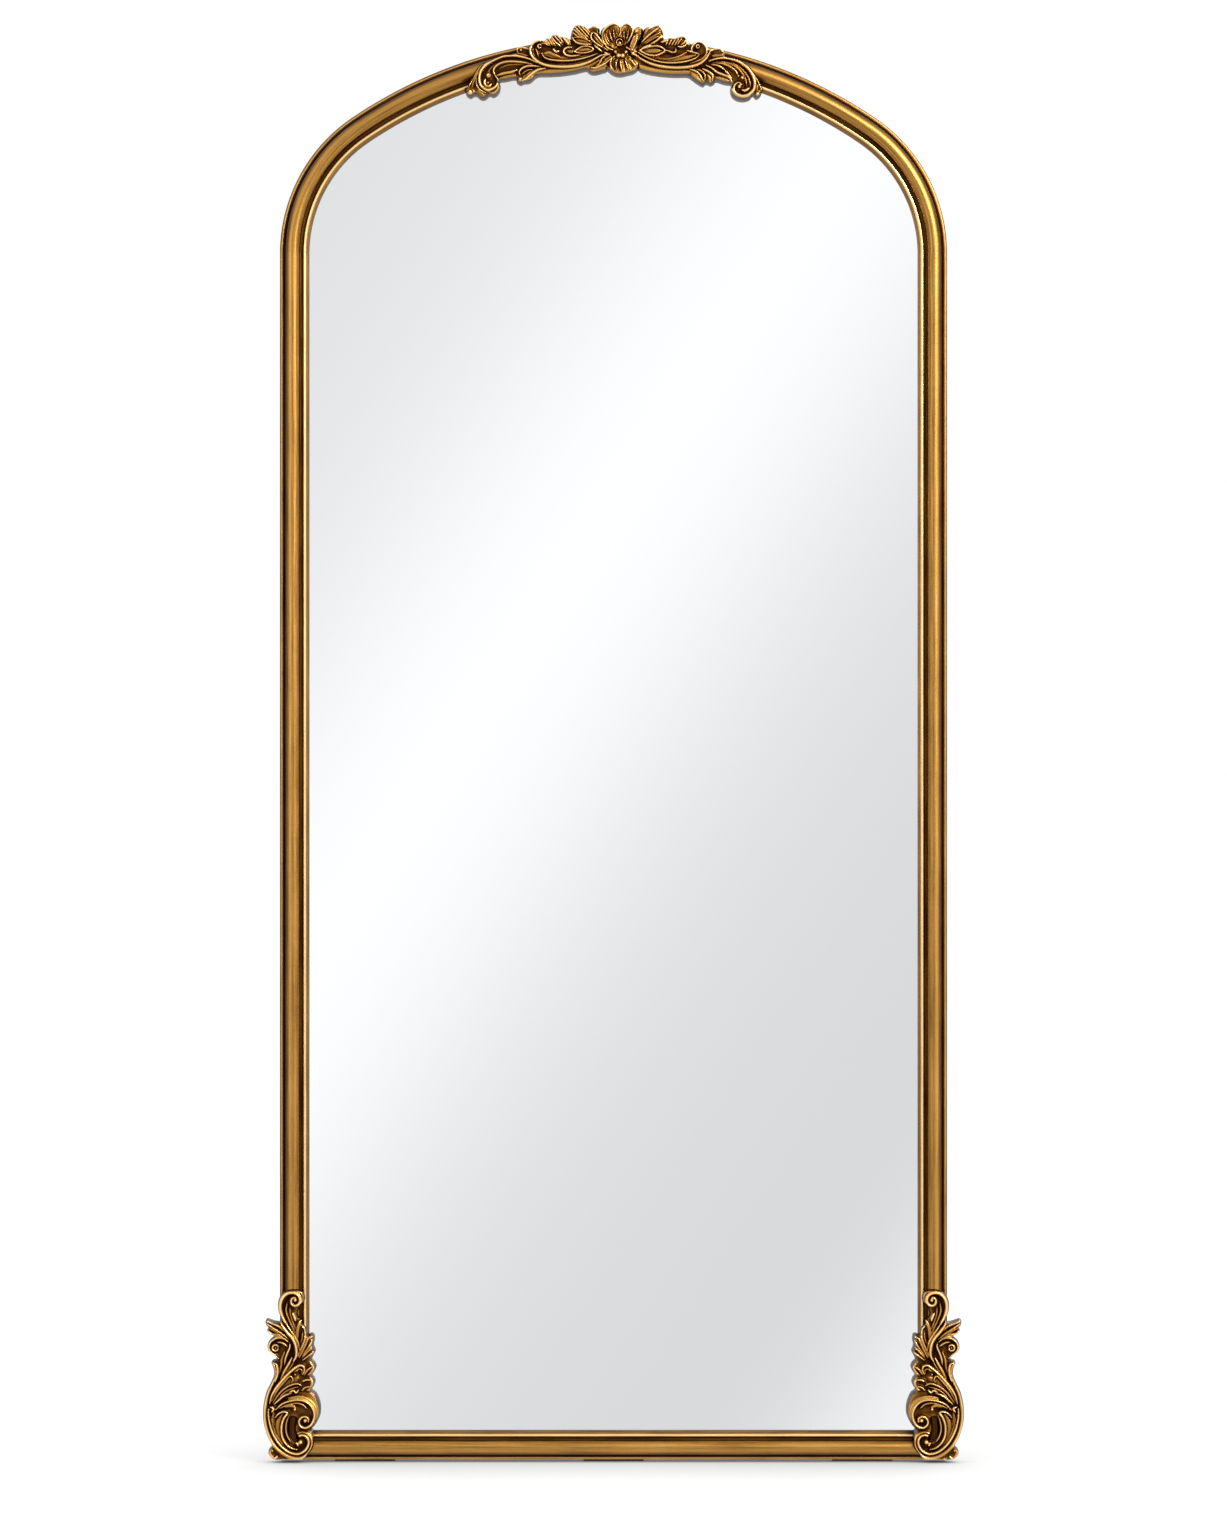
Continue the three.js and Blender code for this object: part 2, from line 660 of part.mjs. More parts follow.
function addFrame() {
  const section = mouldingSection();
  Object.entries(memberStations(JOINT_GAP)).forEach(([name, stations]) => {
    const blank = sweep(section, stations);
    blank.computeBoundingBox();
    const reach = blank.boundingBox;
    const holes = pilotHoles.filter((hole) => {
      hole.computeBoundingBox();
      return hole.boundingBox.intersectsBox(reach);
    });
    addPiece(name, cut(blank, holes), gilding);
  });
}

// ---- Carvings ----

// Each carving has a ground, which is its outline, and ribs that stand on the ground: a rib is a
// line with its half width. Beads are [x, y, radius]. All are in the drawing's units.
const leftSpray = {
  ground: [
    [481, 64], [473, 76], [467, 87], [466.5, 93], [471, 97.5], [475, 95.5], [479, 98], [483, 99.5],
    [487, 98], [490, 95.5], [495, 96], [500, 91], [500.5, 85], [499, 81.5], [517, 79], [518.5, 83],
    [521, 84.5], [528, 83], [533, 80], [538, 76.3], [550, 75.5], [562, 74.6], [575, 72.8],
    [587, 70.5], [590, 73.3], [594, 74], [600, 73], [607, 71], [607, 50], [600, 33], [600, 29.5],
    [595, 27], [589.5, 28.5], [579, 26], [574.5, 27.5], [571.5, 33], [570, 40], [563, 37.5],
    [556, 35.5], [551.5, 37], [547, 39], [545, 41.7], [539, 41], [533, 43], [529, 49],
    [523, 47.3], [517, 48], [515.5, 51.5], [517, 55], [505, 56], [494, 60.5],
  ],
  ribs: {
    outerVolute: [[[537, 65], [524, 59.3], [511, 57.3], [498, 60], [487, 66.5], [480.5, 76],
      [480.8, 85], [486, 91], [493, 90], [498, 84], [496.5, 78]], 1.7],
    innerVolute: [[[496, 78], [494, 72], [499, 66], [510, 63], [522, 64.5]], 1.5],
    endLeaf: [[[481, 65], [474, 77], [470.5, 86], [471, 94]], 2.3],
    lowerLobe: [[[480, 72], [477.5, 81], [479, 90], [484, 96]], 2.5],
    stripLeaf: [[[497, 78], [506, 75], [518, 72.5]], 2.2],
    hangingLeaf: [[[543, 70], [533, 74], [527, 78.5], [521, 81.5]], 2.8],
    hangingRim: [[[540, 68.5], [529, 68], [522, 71], [519.5, 77]], 1.5],
    bud: [[[530, 51], [524, 49], [518, 50.5]], 1.8],
    scroll: [[[546, 43.5], [539, 42.8], [533, 46.5], [531.3, 53], [535, 60], [544, 66], [558, 68.5],
      [573, 67.8], [588, 64], [599, 57.5], [608, 56.5]], 1.9],
    scrollLeaf: [[[543, 55.5], [554, 59.5], [568, 60.5], [583, 58.5], [597, 55.5]], 2.8],
    firstLump: [[[547, 42], [552, 47.5]], 2.2],
    secondLump: [[[553, 38.5], [561, 47.5]], 3.4],
    thirdLump: [[[562, 39], [569, 46]], 3],
    lensLeaf: [[[566, 51], [567, 55], [575, 55], [584, 51.5], [593, 50.5]], 2.4],
    fanLeaf: [[[576, 30], [583, 38], [591, 44]], 5.5],
    fanLobe: [[[573, 41], [580, 45], [592, 46]], 2.2],
    backPetal: [[[590, 29.5], [595, 28.8], [600, 31]], 1.8],
    lanceLeaf: [[[593, 35], [596, 42], [604, 50]], 2.8],
    footLeaf: [[[609, 62], [601, 68], [591.5, 71]], 2.6],
    baseBand: [[[540, 73], [560, 72], [586, 68.5]], 2.2],
  },
  beads: [[489, 77, 2.9], [489, 85.5, 3], [471, 93.5, 3], [521, 51.8, 2], [540, 48, 2.4]],
};

const rightSpray = {
  ground: [
    [643, 29.5], [648, 27.5], [659, 26.3], [663.5, 31], [664, 39], [675, 39], [684, 37], [688, 41],
    [690, 45], [697, 42.5], [704, 44.5], [709, 50], [716, 49.3], [721.5, 49.8], [725, 54], [724, 58],
    [735, 60.5], [745, 66], [752, 73.5], [759, 83], [762, 92], [756.5, 98.5], [753, 95.5],
    [749, 99.5], [742, 101], [735, 98.5], [731, 93], [731.5, 86], [724, 84], [716, 82], [711, 85],
    [706.5, 83.5], [703.5, 86], [697, 83], [689, 77], [678, 76.3], [663, 75.7], [648, 73.3],
    [638, 69.5], [635, 55], [640, 40],
  ],
  ribs: {
    outerVolute: [[[710, 62.5], [718, 60.2], [729, 60], [740, 63.5], [749, 71], [754.5, 82],
      [753, 93], [744, 98.3], [735, 95.5], [733, 89], [738, 84.5], [743, 86.5]], 1.8],
    innerVolute: [[[707, 66], [720, 64], [733, 68], [742, 76], [747, 86], [744, 93]], 2],
    endLeaf: [[[750, 70], [757, 80], [761, 90], [757.5, 95]], 1.9],
    stripLeaf: [[[705, 67], [714, 73], [724, 79], [732, 84.5]], 2.2],
    middleLeaf: [[[712, 66], [724, 70], [731, 77], [733.5, 84]], 2],
    hangingLeaf: [[[690, 73], [697, 77], [703, 83]], 2.6],
    hangingTip: [[[701, 71.5], [708, 76], [711, 82]], 2.6],
    bud: [[[710, 54], [714, 50.8], [721, 51]], 1.7],
    scroll: [[[693, 50], [694.5, 45.5], [700, 43.8], [706, 48], [708.5, 55], [703, 62.5], [692, 67.5],
      [675, 69], [658, 67.3], [643, 62], [634, 55.5]], 1.9],
    scrollLeaf: [[[699, 56.5], [688, 60.5], [674, 62.3], [656, 60], [640, 54]], 2.8],
    lensLeaf: [[[640, 52], [648, 53], [657, 53], [665, 52]], 4],
    curlTail: [[[665, 52], [671, 53.8], [675.5, 51]], 1.3],
    ribbedLeaf: [[[662, 43.5], [673, 43.5], [685, 42]], 4.5],
    fanLeaf: [[[642, 46], [652, 38], [661, 31]], 5],
    baseBand: [[[640, 66.5], [655, 71.5], [672, 73.2], [688, 73]], 2.2],
  },
  beads: [[740, 89, 2.8], [741.5, 79.5, 2.6], [757, 94.5, 2.6], [722, 52.5, 2], [698, 48.3, 2.4]],
};

const flower = {
  ground: [
    [600.4, 33], [603, 28.5], [609, 25.3], [614, 24], [618, 25.5], [621, 27.5], [624.5, 24.8],
    [628, 24], [631, 25.5], [634, 29.5], [639, 27.5], [643.2, 29.7], [640.4, 40], [635.4, 55],
    [638, 69], [634, 73], [628, 74.5], [622, 76], [616, 75.5], [611, 73], [607.4, 70.7], [607.4, 50],
  ],
  ribs: {
    leftPetal: [[[616, 46], [610, 41], [604, 32]], 4.2],
    topPetal: [[[619, 43], [615, 34], [612, 27]], 5.5],
    rightTopPetal: [[[622, 43], [625, 35], [628, 27]], 4.8],
    rightPetal: [[[627, 45], [634, 38], [640, 30]], 4.2],
    barPetal: [[[630.5, 52], [633.5, 45], [638, 37]], 2.3],
    lowerLeftPetal: [[[617, 58], [613, 64], [612, 71]], 3.6],
    lowerPetal: [[[621, 58], [621, 66], [621, 74]], 3.8],
    lowerRightPetal: [[[625, 57], [630, 63], [633, 70]], 4.2],
  },
  beads: [[620, 44, 3], [620, 50.5, 2], [615, 53.5, 3], [626, 54, 3], [621, 57.5, 3.6]],
};

const leftCorner = {
  ground: [
    [288, 1289.5], [295, 1288.5], [302, 1290.5], [305.5, 1297], [304, 1303], [301, 1308],
    [300, 1316], [303.5, 1318.5], [307, 1327], [309, 1335], [313, 1335], [314.5, 1340],
    [313.5, 1346], [315, 1352], [312.5, 1360], [316, 1367], [312.5, 1375], [315, 1382],
    [312.5, 1390], [318, 1396], [320.5, 1405], [320, 1416], [315, 1426], [312, 1431],
    [315, 1438], [314, 1447], [309, 1454], [304, 1460], [280, 1460.4], [272, 1458], [269, 1452],
    [271, 1446], [266, 1434], [263, 1416], [264.5, 1401], [270, 1386], [274, 1374],
    [271.5, 1363], [275, 1359.5], [270, 1354], [268, 1348], [269, 1341], [273, 1336.5],
    [268, 1332], [266, 1322], [269, 1319.5], [281, 1320], [278.5, 1311], [279, 1300], [283, 1293],
  ],
  ribs: {
    topVolute: [[[293, 1301], [297, 1305], [301, 1301], [299.5, 1294], [291, 1291.5], [283, 1298],
      [281, 1308], [286, 1321], [294, 1338], [297.5, 1350], [294, 1360]], 1.8],
    innerStem: [[[289, 1301], [288, 1311], [292, 1325], [298, 1338]], 1.5],
    sideLeaf: [[[269, 1322], [277, 1328], [290, 1339]], 4.5],
    roundVolute: [[[287, 1339], [279, 1336], [271.5, 1340.5], [269.5, 1348], [277, 1357]], 1.7],
    stemLeaf: [[[302, 1320], [301, 1330], [298, 1341]], 2.4],
    secondLeaf: [[[305.5, 1326], [305.5, 1340], [301, 1353]], 2.6],
    thirdLeaf: [[[312, 1337], [309, 1349], [302, 1361]], 3],
    fourthLeaf: [[[313.5, 1365], [309, 1370], [306, 1377]], 2.6],
    fifthLeaf: [[[313, 1380], [308, 1383], [303, 1389]], 2.4],
    curledLeafRim: [[[270.5, 1403], [275, 1391], [285, 1378], [296, 1366.5], [304, 1366]], 1.9],
    curledLeaf: [[[278, 1397], [288, 1386], [298, 1375], [305, 1369]], 5.5],
    strands: [[[283, 1375], [286, 1360], [292, 1345]], 2.6],
    horn: [[[275, 1361.5], [279, 1367], [279, 1376]], 1.8],
    outerScroll: [[[274, 1364], [277, 1373], [271, 1389], [266, 1404], [265.7, 1421], [271, 1438],
      [281, 1450], [295, 1456.5], [308, 1453], [313.5, 1441]], 1.9],
    lowerScroll: [[[269.5, 1411], [273, 1430], [283, 1446.5], [297, 1453], [308, 1447],
      [309, 1437.5], [301, 1433.8], [297.5, 1440]], 1.7],
    upperScroll: [[[276, 1408], [288, 1401], [302, 1398.5], [313, 1405], [317, 1414], [312.5, 1425],
      [303, 1426], [302, 1418]], 1.9],
    insideLeaf: [[[288, 1412], [283, 1423], [284, 1437], [294, 1448]], 2.3],
  },
  beads: [[296, 1299, 2.2], [276, 1347, 4], [301, 1441, 3.6], [307.5, 1419, 3], [295, 1407, 3]],
};

// Returns a function from a drawn point to X and Z, given where one drawn point lies on the frame.
function drawnFrom([drawnX, drawnY], x, z) {
  return ([px, py]) => [x + (px - drawnX) * DRAWN_UNIT, z + (drawnY - py) * DRAWN_UNIT];
}

const onCrest = drawnFrom(DRAWN_APEX, 0, APEX_Z);
const onCorner = drawnFrom(DRAWN_CORNER, -HALF_WIDTH, FRAME_BOTTOM);

// A rib: a ridge along a smooth line, narrower at both ends.
function ribGeometry(line, halfWidth) {
  const points = line.map(([x, z]) => new THREE.Vector3(x, z, 0));
  const curve = new THREE.CatmullRomCurve3(points, false, "centripetal");
  const wanted = Math.ceil(curve.getLength() / CARVING_STATION);
  const steps = THREE.MathUtils.clamp(wanted, 2, CARVING_MOST_STATIONS);
  const rings = [];
  for (let i = 0; i <= steps; i += 1) {
    const share = i / steps;
    const fullness = Math.sqrt(Math.sin(Math.PI * share));
    const half = halfWidth * (CARVING_TIP_SHARE + (1 - CARVING_TIP_SHARE) * fullness);
    rings.push(ribRing(curve.getPointAt(share), curve.getTangentAt(share), half));
  }
  return loft(rings);
}

function ribRing(centre, along, half) {
  const shoulder = Math.max(CARVING_CREST - half * CARVING_SHOULDER_DROP, CARVING_GROUND + RIB_LEAST_RISE);
  const section = [
    [-half, CARVING_ROOT],
    [-half, shoulder],
    [0, CARVING_CREST],
    [half, shoulder],
    [half, CARVING_ROOT],
  ];
  return section.map(([across, height]) => {
    const [x, z] = [centre.x - along.y * across, centre.y + along.x * across];
    return new THREE.Vector3(x, outToY(height), z);
  });
}

// A bead: the front half of a ball stretched out from the ground.
function beadGeometry([x, z], radius) {
  const bead = new THREE.IcosahedronGeometry(radius, 1);
  bead.scale(1, (CARVING_CREST + BEAD_PROUD - CARVING_GROUND) / radius, 1);
  bead.translate(x, outToY(CARVING_GROUND), z);
  return bead;
}

// Everything in front of the carvings' backs that lies within an outline.
function carvingPrism(outline) {
  return solid(slab(outline, CARVING_BACK - CARVING_CUT_MARGIN, CARVING_CREST + 2 * BEAD_PROUD));
}

// Joins a carving's ground, ribs and beads, and fits its back to the frame.
function carvedBody(drawing, place, frameTools) {
  let body = solid(slab(drawing.ground.map(place), CARVING_BACK, CARVING_GROUND));
  Object.values(drawing.ribs).forEach(([line, halfWidth]) => {
    body = body.add(solid(ribGeometry(line.map(place), halfWidth * DRAWN_UNIT)));
  });
  drawing.beads.forEach(([x, y, radius]) => {
    body = body.add(solid(beadGeometry(place([x, y]), radius * DRAWN_UNIT)));
  });
  return frameTools.reduce((left, tool) => left.subtract(tool), body);
}

function addCarvings() {
  const section = grown(mouldingSection(), CARVING_CLEARANCE);
  const closedMitres = Object.values(memberStations(-JOINT_GAP));
  const tools = closedMitres.map((stations) => solid(sweep(section, stations)));
  const petals = flower.ground.map(onCrest);
  const petalEdge = petals.map(([x, z]) => new THREE.Vector2(x, z));
  const round = grown(petalEdge, CARVING_CLEARANCE).map((p) => [p.x, p.y]);
  const blossom = carvedBody(flower, onCrest, tools).intersect(carvingPrism(petals));
  addPiece("crest_flower", geometryOf(blossom), gilding);
  [leftSpray, rightSpray].forEach((spray, i) => {
    const body = carvedBody(spray, onCrest, tools).subtract(carvingPrism(round));
    addPiece(`crest_spray_${SIDES[i][0]}`, geometryOf(body), gilding);
  });
  const corner = geometryOf(carvedBody(leftCorner, onCorner, tools));
  const otherCorner = facingOut(corner.clone().scale(-1, 1, 1));
  addPiece("corner_ornament_left", corner, gilding);
  addPiece("corner_ornament_right", otherCorner, gilding);
}

addPads();
addGlazing();
addJointPlates();
addTurnButtons();
addHangers();
addFrame();
addCarvings();

export default mirror;
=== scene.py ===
"""The looks of a leaning floor mirror: an arched, antique-gold frame with a carved crest and corners.

Metres, +Z up. The mirror faces -Y, and +X is the viewer's right. Carvings are drawn on a grid whose
x runs right and whose y runs down, and heights in them run out from the back of the frame.
"""
import json
import logging
import math
from dataclasses import dataclass, field
from enum import Enum
from functools import cache
from typing import Callable, Sequence

import bmesh
import bpy
import numpy as np
from mathutils import Matrix, Vector
from mathutils.geometry import delaunay_2d_cdt

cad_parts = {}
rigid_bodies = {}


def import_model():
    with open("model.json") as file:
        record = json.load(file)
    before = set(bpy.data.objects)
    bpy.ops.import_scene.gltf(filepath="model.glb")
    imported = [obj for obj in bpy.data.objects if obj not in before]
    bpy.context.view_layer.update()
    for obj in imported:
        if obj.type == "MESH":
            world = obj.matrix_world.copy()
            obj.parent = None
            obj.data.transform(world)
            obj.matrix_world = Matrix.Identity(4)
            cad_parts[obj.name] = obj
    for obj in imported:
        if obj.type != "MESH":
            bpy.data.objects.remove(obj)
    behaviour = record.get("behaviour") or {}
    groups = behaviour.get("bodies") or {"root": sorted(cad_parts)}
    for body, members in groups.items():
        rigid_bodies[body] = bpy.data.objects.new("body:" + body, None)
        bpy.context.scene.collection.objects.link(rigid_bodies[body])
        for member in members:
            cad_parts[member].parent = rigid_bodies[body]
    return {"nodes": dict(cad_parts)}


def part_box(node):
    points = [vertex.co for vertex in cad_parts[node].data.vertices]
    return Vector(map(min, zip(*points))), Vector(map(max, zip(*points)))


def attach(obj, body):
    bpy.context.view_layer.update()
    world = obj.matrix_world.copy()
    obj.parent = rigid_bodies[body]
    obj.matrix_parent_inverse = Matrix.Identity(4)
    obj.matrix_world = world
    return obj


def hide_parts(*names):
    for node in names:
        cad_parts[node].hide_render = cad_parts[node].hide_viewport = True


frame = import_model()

Point = tuple[float, float]
Colour = tuple[float, float, float]
Socket = bpy.types.NodeSocket
Finder = Callable[[str], Socket]
Array = np.ndarray
BMesh = bmesh.types.BMesh

LOG = logging.getLogger("floor_mirror")
MM = 0.001
SAME = 1e-6
CREASE, SOFT_CREASE = 0.6, 1.1
ROOT = "root"
SIDES = {"left": -1, "right": 1}
WHITE = (1.0, 1.0, 1.0)
SOCKET_KINDS = {"Place": "Vector", "Glaze": "Color", "Umber": "Color", "Gold": "Color",
                "Bright": "Color", "Color": "Color"}


# ---- Shader graphs ----


class Graph:
    """A node tree that is written with short calls."""

    def __init__(self, tree: bpy.types.NodeTree) -> None:
        """Empties the tree."""
        self.tree = tree
        tree.nodes.clear()

    def fill(self, node: bpy.types.Node, inputs: dict) -> bpy.types.Node:
        """Links sockets to a node's inputs and sets the others, a short colour with its alpha."""
        for name, value in inputs.items():
            socket = node.inputs[name]
            if isinstance(value, Socket):
                self.tree.links.new(value, socket)
            elif socket.type == "RGBA" and len(value) == 3:
                socket.default_value = (*value, 1.0)
            else:
                socket.default_value = value
        return node

    def add(self, kind: str, inputs: dict | None = None, **settings: object) -> bpy.types.Node:
        """Adds a node.

        Args:
            kind: The end of the node's type name.
            inputs: Values or sockets for its inputs, by name or number.
            settings: Properties of the node itself.

        Returns:
            The node.
        """
        node = self.tree.nodes.new(kind if kind.startswith("NodeGroup") else f"ShaderNode{kind}")
        for name, value in settings.items():
            setattr(node, name, value)
        return self.fill(node, inputs or {})

    def math(self, operation: str, *values: object, clamp: bool = False) -> Socket:
        """Returns the result of a Math node on one to three values or sockets."""
        inputs = dict(enumerate(values))
        return self.add("Math", inputs, operation=operation, use_clamp=clamp).outputs[0]

    def times(self, first: object, second: object) -> Socket:
        """Returns the product of two values or sockets."""
        return self.math("MULTIPLY", first, second)

    def bell(self, share: Socket) -> Socket:
        """Returns 1 where share is 0, falling smoothly to 0 on both sides."""
        return self.math("POWER", math.e, self.times(self.times(share, share), -1.0))

    def span(self, value: object, low: float, high: float, out_low: float = 0.0,
             out_high: float = 1.0) -> Socket:
        """Returns value moved smoothly from the range low to high onto out_low to out_high."""
        inputs = {"Value": value, 1: low, 2: high, 3: out_low, 4: out_high}
        return self.add("MapRange", inputs, interpolation_type="SMOOTHSTEP").outputs[0]

    def mix(self, share: object, first: object, second: object) -> Socket:
        """Returns two colours blended by share."""
        return self.add("Mix", {0: share, 6: first, 7: second}, data_type="RGBA").outputs[2]

    def noise(self, vector: object, scale: object, detail: float = 2.0,
              roughness: float = 0.5) -> Socket:
        """Returns the value of a noise texture."""
        inputs = {"Vector": vector, "Scale": scale, "Detail": detail, "Roughness": roughness}
        return self.add("TexNoise", inputs).outputs["Fac"]

    def attribute(self, name: str) -> Socket:
        """Returns a number that the mesh holds at each corner point."""
        return self.add("Attribute", attribute_name=name).outputs["Fac"]

    def place(self) -> Socket:
        """Returns the piece's own coordinates, in metres."""
        return self.add("TexCoord").outputs["Object"]

    def use(self, group: bpy.types.NodeTree, inputs: dict) -> bpy.types.Node:
        """Places a node group with its own values."""
        return self.add("Group", inputs, node_tree=group)

    def flecks(self, place: object, scale: float, amount: float,
               softness: float) -> Socket:
        """Returns the mask of the Flecks group."""
        return self.use(Effects.flecks(), {"Place": place, "Scale": scale, "Amount": amount,
                                           "Softness": softness}).outputs[0]

    def dents(self, place: object, scale: float, fine_share: float) -> Socket:
        """Returns the height of the Dents group."""
        return self.use(Effects.dents(), {"Place": place, "Scale": scale,
                                          "Fine share": fine_share}).outputs[0]

    def bump(self, height: object, strength: float, distance: float) -> Socket:
        """Returns normals bent by a height."""
        return self.add("Bump", {"Height": height, "Strength": strength,
                                 "Distance": distance}).outputs[0]


def effect(name: str, inputs: str, outputs: str) -> Callable:
    """Turns a function that fills a graph into one that returns its node group, built once.

    Args:
        name: The group's name.
        inputs: The labels of its inputs, with commas between.
        outputs: The labels of its outputs, which the function returns.

    Returns:
        The decorator.
    """

    def wrap(build: Callable[[Graph, Finder], dict]) -> Callable[[], bpy.types.NodeTree]:
        """Wraps the function that fills the group."""

        @cache
        def group() -> bpy.types.NodeTree:
            """Makes the node group."""
            tree = bpy.data.node_groups.new(name, "ShaderNodeTree")
            for in_out, labels in (("INPUT", inputs), ("OUTPUT", outputs)):
                for label in labels.split(", "):
                    kind = SOCKET_KINDS.get(label, "Float")
                    tree.interface.new_socket(label, in_out=in_out, socket_type=f"NodeSocket{kind}")
            graph = Graph(tree)
            source = graph.add("NodeGroupInput")
            graph.add("NodeGroupOutput", build(graph, lambda label: source.outputs[label]))
            return tree

        return group

    return wrap


class Effects:
    """The effects that more than one finish uses, each a node group."""

    @effect("Fine lines", "Along, Across, Fineness, Stretch, Seed", "Value")
    def lines(graph: Graph, given: Finder) -> dict:
        """Draws fine lines that run along a length."""
        across = graph.times(given("Across"), given("Fineness"))
        along = graph.times(graph.times(given("Along"), given("Fineness")), given("Stretch"))
        place = graph.add("CombineXYZ", {"X": across, "Y": along, "Z": given("Seed")}).outputs[0]
        return {"Value": graph.span(graph.noise(place, 1.0, 4.0, 0.6), 0.3, 0.7)}

    @effect("Flecks", "Place, Scale, Amount, Softness", "Mask")
    def flecks(graph: Graph, given: Finder) -> dict:
        """Scatters small flecks."""
        grain = graph.noise(given("Place"), given("Scale"), 3.0, 0.7)
        over = graph.math("SUBTRACT", grain, graph.math("SUBTRACT", 1.0, given("Amount")))
        return {"Mask": graph.math("DIVIDE", over, given("Softness"), clamp=True)}

    @effect("Dents", "Place, Scale, Fine share", "Height")
    def dents(graph: Graph, given: Finder) -> dict:
        """Shapes small dents and undulations for a Bump node."""
        broad = graph.noise(given("Place"), given("Scale"))
        fine = graph.noise(given("Place"), graph.times(given("Scale"), 7.0), 3.0, 0.65)
        return {"Height": graph.math("ADD", broad, graph.times(fine, given("Fine share")))}

    @effect("Toning", "Gild, Wear, Wear strength, Glaze, Umber, Gold, Bright", "Color, Rubbed")
    def toning(graph: Graph, given: Finder) -> dict:
        """Turns the tone into colour: brown glaze and painted shade where it is low, rubbed gold and
        painted highlight where it is high.
        """
        swing = graph.math("SUBTRACT", given("Wear"), 0.5)
        pushed = graph.math("MULTIPLY_ADD", swing, given("Wear strength"), given("Gild"))
        thin = graph.mix(graph.span(pushed, 0.02, 0.34), given("Glaze"), given("Umber"))
        gold = graph.mix(graph.span(pushed, 0.22, 0.66), thin, given("Gold"))
        rubbed_and_highlit = graph.span(pushed, 0.6, 1.0)
        return {"Color": graph.mix(rubbed_and_highlit, gold, given("Bright")), "Rubbed": rubbed_and_highlit}


# ---- Finishes ----


def dimmed(colour: Colour, share: float) -> Colour:
    """Returns a darker colour."""
    return tuple(share * c for c in colour)


@dataclass(frozen=True)
class Finish:
    """A finish with its material, made the first time that it is asked for."""

    name: str
    slot: str

    def material(self) -> bpy.types.Material:
        """Returns this finish's material."""
        made = bpy.data.materials.get(self.name)
        if made is None:
            made = bpy.data.materials.new(self.name)
            made.use_nodes = True
            graph = Graph(made.node_tree)
            shader = graph.add("BsdfPrincipled")
            graph.fill(shader, self.paint(graph))
            graph.add("OutputMaterial", {"Surface": shader.outputs[0]})
        return made

    def paint(self, graph: Graph) -> dict:
        """Returns what goes into the Principled BSDF's inputs, by their names."""
        raise NotImplementedError

    def dress(self, piece: bpy.types.Object) -> bpy.types.Object:
        """Puts the finish on a piece and returns the piece."""
        piece.data.materials.clear()
        piece.data.materials.append(self.material())
        return piece


@dataclass(frozen=True)
class Gilding(Finish):
    """Antique gold over brown glaze, with raw wood on faces that the gilder leaves bare; the tone also
    paints shade and highlight.
    """

    glaze: Colour = (0.020, 0.0045, 0.0004)
    umber: Colour = (0.105, 0.040, 0.0050)
    gold: Colour = (0.43, 0.222, 0.050)
    # Rubbed gold, also the colour of painted highlights on crowns and ridges.
    bright: Colour = (0.92, 0.64, 0.27)
    wood: Colour = (0.19, 0.105, 0.045)
    line_fineness: float = 520.0
    line_stretch: float = 0.02
    wear_strength: float = 0.3
    dent_scale: float = 90.0

    def paint(self, graph: Graph) -> dict:
        """Returns inputs made from the glaze, the gold, the painted shade and highlight and the streaks."""
        place = graph.place()
        lines = graph.use(Effects.lines(), {
            "Along": graph.attribute("along"), "Across": graph.attribute("across"),
            "Fineness": self.line_fineness, "Stretch": self.line_stretch, "Seed": 3.0}).outputs[0]
        clouds = graph.noise(place, 28.0, 3.0, 0.6)
        toning = graph.use(Effects.toning(), {
            "Gild": graph.attribute("gild"), "Wear strength": self.wear_strength,
            "Wear": graph.math("MULTIPLY_ADD", lines, 0.6, graph.times(clouds, 0.4)),
            "Glaze": self.glaze, "Umber": self.umber, "Gold": self.gold, "Bright": self.bright})
        flecks = graph.flecks(place, 420.0, 0.34, 0.05)
        specked = graph.mix(graph.times(flecks, 0.55), toning.outputs["Color"], self.umber)
        bare = graph.attribute("bare")
        grain = graph.mix(lines, dimmed(self.wood, 0.62), self.wood)
        rough = graph.span(toning.outputs["Rubbed"], 0.0, 1.0, 0.40, 0.30)
        dents = graph.dents(place, self.dent_scale, 0.35)
        height = graph.math("MULTIPLY_ADD", lines, 0.25, dents)
        return {"Base Color": graph.mix(bare, specked, grain),
                "Metallic": graph.times(graph.math("SUBTRACT", 1.0, bare), 0.96),
                "Roughness": graph.math("MULTIPLY_ADD", bare, 0.4, rough),
                "Normal": graph.bump(height, 0.25, 0.0006)}


@dataclass(frozen=True)
class Silvering(Finish):
    """A flat mirror plate: silver behind clear glass, with a trace of wiping marks."""

    silver: Colour = (0.93, 0.94, 0.95)

    def paint(self, graph: Graph) -> dict:
        """Returns inputs for a near-perfect reflector."""
        wiped = graph.noise(graph.place(), 9.0, 4.0, 0.6)
        return {"Base Color": self.silver, "Metallic": 1.0,
                "Roughness": graph.span(wiped, 0.3, 0.75, 0.004, 0.016)}


@dataclass(frozen=True)
class Fibreboard(Finish):
    """Pressed brown fibreboard with pale and dark fibres."""

    brown: Colour = (0.26, 0.155, 0.078)
    pale: Colour = (0.40, 0.27, 0.155)
    dark: Colour = (0.11, 0.060, 0.028)

    def paint(self, graph: Graph) -> dict:
        """Returns inputs made from two scatters of fibres."""
        place = graph.place()
        clouds = graph.noise(place, 6.0, 3.0)
        colour = graph.mix(clouds, dimmed(self.brown, 0.88), self.brown)
        for fibre, stretch, scale, amount in ((self.pale, (1.0, 1.0, 0.3), 900.0, 0.46),
                                              (self.dark, (0.3, 1.0, 1.0), 700.0, 0.44)):
            stretched = graph.add("Mapping", {"Vector": place, "Scale": stretch}).outputs[0]
            flecks = graph.flecks(stretched, scale, amount, 0.1)
            colour = graph.mix(graph.times(flecks, 0.6), colour, fibre)
        return {"Base Color": colour, "Roughness": graph.span(clouds, 0.0, 1.0, 0.78, 0.9),
                "Normal": graph.bump(graph.dents(place, 160.0, 0.8), 0.3, 0.0004)}


